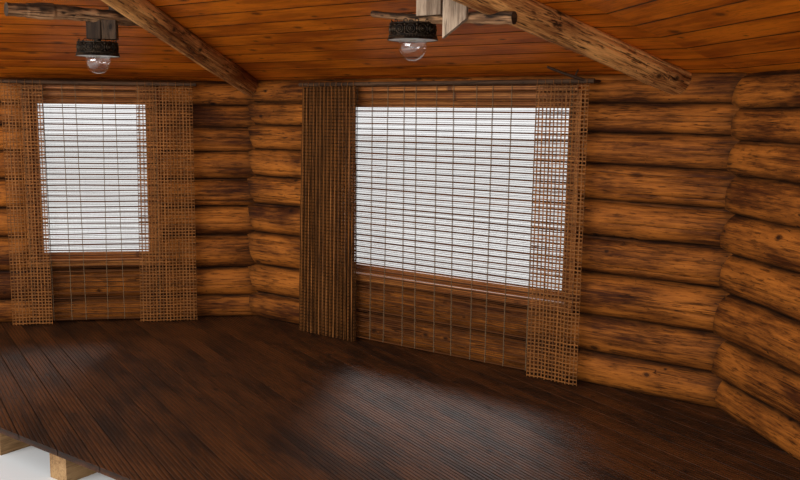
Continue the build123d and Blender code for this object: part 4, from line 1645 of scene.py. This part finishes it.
# Posts of the right lamp: place and width along the pole, lower end, and rise of a slanting foot
post_thickness = 0.025
straight_post = (0.054, 0.145, -0.010, 0.0)
slanting_post = (0.211, 0.135, -0.126, 0.088)


def gnarled(seed, taper=lambda u: 1.0, sag=0.0, collar=None):
    """Twists and taper of a pole or twig, how it sags, and a thicker stretch between two places."""
    phase = np.random.default_rng(seed).uniform(0, 2 * pi, 3)

    def bend(u):
        size = 1.0 + 0.06 * np.sin(u * 17 + phase[0]) + 0.03 * np.sin(u * 61 + phase[1])
        if collar:
            low, high = collar
            inside = 0.5 + 0.5 * np.tanh((0.5 * (high - low) - np.abs(u - (low + high) / 2)) / 0.004)
            size = size * (0.94 + 0.16 * inside)
        aside = 0.005 * np.sin(u * 7 + phase[1])
        down = 0.004 * np.sin(u * 9 + phase[2]) + sag * np.sin(pi * np.clip(u / right_pole_run, 0, 1))
        return aside, down, size * taper(u)
    return bend


def arc(radius, turns, middle=0.0):
    """Round part of a turned piece's outline."""
    return [(radius * sin(turn), middle + radius * cos(turn)) for turn in turns]


class CABIN_OT_lamps(bpy.types.Operator):
    """Build the lamps with their poles, block and posts"""
    bl_idname = "cabin.lamps"
    bl_label = "Lamps"

    ornaments = 12
    rim_beads = 52
    side_beads = ((-0.014, 0.0056), (-0.026, 0.0038), (-0.034, 0.0060), (-0.042, 0.0038), (-0.054, 0.0056))
    glass_thickness = 0.003

    def execute(self, context):
        def thin(u):
            """Taper of the right pole at a place along its own line."""
            return right_pole_radius(u * right_pole_run / right_pole_length) / right_root_radius

        for name, start, way, reach, radius, bend in (
            ("left", left_socket, left_pole_way, (0.08, left_pole_length), left_pole_radius,
             gnarled(left_twist_seed, collar=(0.640, 0.790))),
            ("right", right_pole_start, right_pole_way, (0.0, right_pole_length), right_root_radius,
             gnarled(right_twist_seed, thin, 0.012)),
        ):
            maker = Maker()
            form = LogForm(pole_seed + len(name), radius, 0.0, left_pole_length, 2.2, 0.16)
            add_pole(maker, form, start, way, *reach, columns=32, step=0.006, checks=5, depth=0.007,
                     bend=bend, bark=True)
            maker.build(f"{name}_lamp_gnarled_pole", [finish("Gnarled bark"), finish("Dark timber")],
                        "weathered_wood", [f"{name}_lamp_pole"])
        self.block()
        self.hanger()
        self.posts()
        self.housings()
        return {"FINISHED"}

    def block(self):
        """Two dark boards under the left pole."""
        maker = Maker()
        half, depth = block_width / 2, block_thickness / 2
        for number, (low, high) in enumerate(((-half, -block_joint), (block_joint, half))):
            corners = ((low, -depth, -block_height), (high, depth, -left_pole_radius / 2))
            add_bar(maker, corners, 2, 0.004, number + 3.0, place=Wall(block_hold, wall_turn).place)
        maker.build("left_lamp_board_block", [finish("Dark timber")], "weathered_wood", ["left_lamp_block"])

    def hanger(self):
        """Short hanger between the left pole and the ceiling."""
        maker = Maker()
        x, y = hanger_width / 2, hanger_thickness / 2
        lift = float(ceiling_z(hanger_hold) - hanger_hold[2])
        add_bar(maker, ((-x, -y, 0.020), (x, y, lift)), 2, 0.003, 9.0,
                place=Wall(hanger_hold, wall_turn).place)
        maker.build("left_lamp_hanger", [finish("Dark timber")], "weathered_wood")

    def posts(self):
        """Two weathered boards before the right pole, one with a slanting foot."""
        maker = Maker()
        far_place, far_width = slanting_post[:2]
        back = -right_pole_radius(right_lamp_along - far_place - far_width) - fit_gap
        for number, (place, width, low, foot) in enumerate((straight_post, slanting_post)):
            def ends(rings, low=low, foot=foot, place=place, width=width):
                rings[0, :, 2] = low + foot * (rings[0, :, 0] - place) / width
                rings[1, :, 2] = ceiling_z(rings[1] + right_hold) - right_hold[2]
                return rings
            corners = ((place, back - post_thickness, low), (place + width, back, 0.4))
            add_bar(maker, corners, 2, 0.003, number + 21.0, ends=ends,
                    place=lambda x, y, z: np.stack([x, y, z], -1) + right_hold)
        maker.build("right_lamp_weathered_posts", [finish("Weathered timber")], "weathered_wood",
                    ["right_lamp_posts"])

    def housings(self):
        """Ornate housings with rims, bulbs and glass globes."""
        metal, globes = Maker(), Maker()
        for centre in (left_lamp_top, right_lamp_top):
            self.housing(metal, centre)
            self.ornament(metal, centre)
            self.bulb(metal, globes, centre)
            self.globe(globes, centre)
        metal.build("lamp_ornate_housings",
                    [finish("Aged metal"), finish("Rim enamel"), finish("Lamp socket")],
                    "lamp_metal", ["lamp_housings"])
        globes.build("lamp_clear_globes", [finish("Globe glass")], "lamp_glass", ["lamp_globes"])

    def housing(self, maker, centre):
        """Neck, drum, and the flat rim with its pale underside."""
        low, rim = -housing_height, -housing_height - rim_height
        seat = rim + globe_seat_above_rim
        drum = housing_radius - 0.016
        lathe(maker, centre, [(0.0, neck_height), (0.020, neck_height), (0.022, neck_height - 0.004),
                              (0.022, 0.004), (0.030, 0.000), (drum - 0.006, -0.001), (drum, -0.005),
                              (drum, low + 0.004), (housing_radius, low),
                              (housing_radius + 0.004, low - 0.004), (rim_radius - 0.002, rim + 0.006),
                              (rim_radius, rim + 0.003), (rim_radius, rim + 0.001),
                              (rim_radius - 0.003, rim), (rim_radius - 0.006, rim + 0.003),
                              (globe_radius + 0.007, rim + 0.009), (globe_radius + 0.006, seat),
                              (0.0, seat)], 80)
        lathe(maker, centre, [(rim_radius - 0.006, rim + 0.0028), (rim_radius - 0.012, rim + 0.0030),
                              (globe_radius + 0.008, rim + 0.0080), (globe_radius + 0.0065, rim + 0.0100),
                              (globe_radius + 0.0065, rim + 0.0112), (globe_radius + 0.009, rim + 0.0100),
                              (rim_radius - 0.010, rim + 0.0048)], 80, slot=1)

    def ornament(self, maker, centre):
        """Rings and beads about the drum, and a row of beads on the rim."""
        low = -housing_height
        for lift, radius, size in (
            (-0.004, housing_radius - 0.004, 0.0040),
            (low + 0.006, housing_radius, 0.0036),
        ):
            torus(maker, centre + upward * lift, upward, radius, size, 80, 8)
        for number in range(self.ornaments):
            angle = 2 * pi * number / self.ornaments
            out, side = level_way(angle), level_way(angle + pi / self.ornaments)
            middle = centre + out * (housing_radius - 0.003) - upward * 0.034
            torus(maker, middle, out, 0.0205, 0.0032, 20, 6)
            torus(maker, middle, out, 0.0100, 0.0024, 14, 6)
            self.ball(maker, middle + out * 0.002, 0.0050)
            for lift, size in self.side_beads:
                self.ball(maker, centre + side * (housing_radius - 0.004) + upward * lift, size)
            middle = centre + side * (housing_radius - 0.010) + upward * 0.004
            torus(maker, middle, side, 0.0095, 0.0022, 14, 6)
        for number in range(self.rim_beads):
            out = level_way(2 * pi * number / self.rim_beads)
            middle = centre + out * (housing_radius + 0.002) + upward * (low - 0.001)
            self.ball(maker, middle, 0.0038, 8, 5)

    def ball(self, maker, centre, radius, sides=12, rings=7):
        """A small round bead."""
        lathe(maker, centre, arc(radius, np.linspace(0, pi, rings)), sides)

    def bulb(self, metal, glass, centre):
        """Socket and clear bulb inside the globe."""
        top = -housing_height - rim_height + globe_seat_above_rim
        lathe(metal, centre, [(0.0, top + 0.001), (0.019, top + 0.001), (0.019, top - 0.018),
                              (0.016, top - 0.024), (0.0, top - 0.025)], 28, 2)
        low = top - 0.022
        lathe(glass, centre, [(0.0, low), (0.012, low - 0.002), (0.014, low - 0.010), (0.022, low - 0.020),
                              (0.0265, low - 0.032), (0.0260, low - 0.042), (0.019, low - 0.052),
                              (0.010, low - 0.057), (0.0, low - 0.058)], 28)

    def globe(self, maker, centre):
        """Hollow glass bowl, open at the top."""
        middle = -housing_height - rim_height - globe_below_rim
        start = acos((globe_below_rim + globe_seat_above_rim - fit_gap) / globe_radius)
        turns = np.linspace(start, pi, 26)
        inner_radius = globe_radius - self.glass_thickness
        profile = arc(globe_radius, turns, middle) + arc(inner_radius, turns[::-1], middle)
        lathe(maker, centre, profile, 56, loop=True)


# Lights, and the photo's viewpoint: turned left of straight ahead, tilted down and rolled a little
front_light_place = (-0.6, front_y - 6.5, 3.6)
front_light_target = (0.0, 0.6, 1.0)
front_light_size = (7.0, 3.0)
sun_place = (-5.0, 8.0, 6.5)
sun_angle = radians(14)
camera_place = (3.180, -3.992, 1.850)
camera_heading = radians(35.3)
camera_tilt = radians(8.3)
camera_roll = radians(0.7)
ground_reach = 60.0


def stand(name, data, axes, place):
    """A light or camera at a place, with its right, up and back directions."""
    made = new_object(name, data)
    rows = [[*row, value] for row, value in zip(np.stack(axes, 1), place)]
    made.matrix_world = Matrix(rows + [[0.0, 0.0, 0.0, 1.0]])
    return made


class CABIN_OT_stage(bpy.types.Operator):
    """Set up the floor, the soft lights and the camera at the photo's viewpoint"""
    bl_idname = "cabin.stage"
    bl_label = "Stage"

    def execute(self, context):
        settings = context.scene.cabin_stage
        self.ground()
        self.sky(context.scene, settings.sky)
        self.light("Front light", front_light_place, front_light_target, settings.front_power,
                   front_light_size)
        self.light("Soft sun", sun_place, (0.0, 0.0, 0.0), settings.sun)
        context.scene.camera = self.camera(settings.lens)
        context.scene.view_settings.view_transform = "Standard"
        return {"FINISHED"}

    def ground(self):
        """Plain pale floor under the part."""
        corners = [(x * ground_reach, y * ground_reach, 0) for x, y in ((-1, -1), (1, -1), (1, 1), (-1, 1))]
        mesh = bpy.data.meshes.new("pale_floor")
        mesh.from_pydata(corners, [], [(0, 1, 2, 3)])
        made = new_object("pale_floor", mesh)
        material, graph, shader = new_material("Pale floor", Roughness=0.95)
        clouds = graph.even_noise(graph.object_place(), 0.6, 2.0)
        shown = graph.mix(clouds, rgba((0.78, 0.78, 0.77)), rgba((0.82, 0.82, 0.81)))
        graph.fill(shader, {"Base Color": shown})
        mesh.materials.append(material)

    def sky(self, scene, level):
        """Even light, with white behind the part and through its glass."""
        world = bpy.data.worlds.new("Studio")
        world.use_nodes = True
        scene.world = world
        graph = Graph(world.node_tree)
        path = graph.node("ShaderNodeLightPath").outputs
        seen = graph.math("MAXIMUM", path["Is Camera Ray"], path["Is Transmission Ray"])
        strength = graph.times_plus(seen, 1.0 - level, level)
        graph.fill(world.node_tree.nodes["Background"].inputs,
                   {"Color": (1.0, 1.0, 1.0, 1.0), "Strength": strength})

    def light(self, name, place, target, power, size=None):
        """A large soft light that faces a point, or without a size a soft sun."""
        data = bpy.data.lights.new(name, "AREA" if size else "SUN")
        data.energy = power
        if size:
            data.shape = "RECTANGLE"
            data.size, data.size_y = size
        else:
            data.angle = sun_angle
        back = unit(np.subtract(place, target))
        right = unit(np.cross(upward, back))
        stand(name, data, (right, np.cross(back, right), back), place)

    def camera(self, lens):
        """The photo's viewpoint."""
        right, ahead = level_way(camera_heading), level_left(camera_heading)
        forward = ahead * cos(camera_tilt) - upward * sin(camera_tilt)
        up = ahead * sin(camera_tilt) + upward * cos(camera_tilt)
        data = bpy.data.cameras.new("Camera")
        data.sensor_width, data.lens = 36.0, lens
        axes = (right * cos(camera_roll) + up * sin(camera_roll),
                up * cos(camera_roll) - right * sin(camera_roll), -forward)
        return stand("Camera", data, axes, camera_place)


settings_groups = (
    ("cabin_logs", CabinLogSettings),
    ("cabin_boards", CabinBoardSettings),
    ("cabin_windows", CabinWindowSettings),
    ("cabin_curtains", CabinCurtainSettings),
    ("cabin_stage", CabinStageSettings),
)
operators = (CABIN_OT_finishes, CABIN_OT_wall_logs, CABIN_OT_rafters, CABIN_OT_boards, CABIN_OT_windows,
             CABIN_OT_blinds, CABIN_OT_curtains, CABIN_OT_lamps, CABIN_OT_stage)


class CABIN_PT_bay(bpy.types.Panel):
    """Lists the pieces of the cabin bay and their settings"""
    bl_idname = "CABIN_PT_bay"
    bl_label = "Cabin bay"
    bl_space_type = "VIEW_3D"
    bl_region_type = "UI"
    bl_category = "Cabin"

    def draw(self, context):
        for name, group in settings_groups:
            box = self.layout.box()
            for key in group.__annotations__:
                box.prop(getattr(context.scene, name), key)
        for operator in operators:
            self.layout.operator(operator.bl_idname)


def register():
    """Registers the settings, operators and panel."""
    for name, group in settings_groups:
        bpy.utils.register_class(group)
        setattr(bpy.types.Scene, name, PointerProperty(type=group))
    for made in (*operators, CABIN_PT_bay):
        bpy.utils.register_class(made)


def unregister():
    """Takes them away again."""
    for made in (CABIN_PT_bay, *reversed(operators)):
        bpy.utils.unregister_class(made)
    for name, group in reversed(settings_groups):
        delattr(bpy.types.Scene, name)
        bpy.utils.unregister_class(group)


def main():
    """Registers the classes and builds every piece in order."""
    register()
    for operator in operators:
        name = operator.bl_idname.split(".")[1]
        getattr(bpy.ops.cabin, name)()


if __name__ == "__main__":
    main()
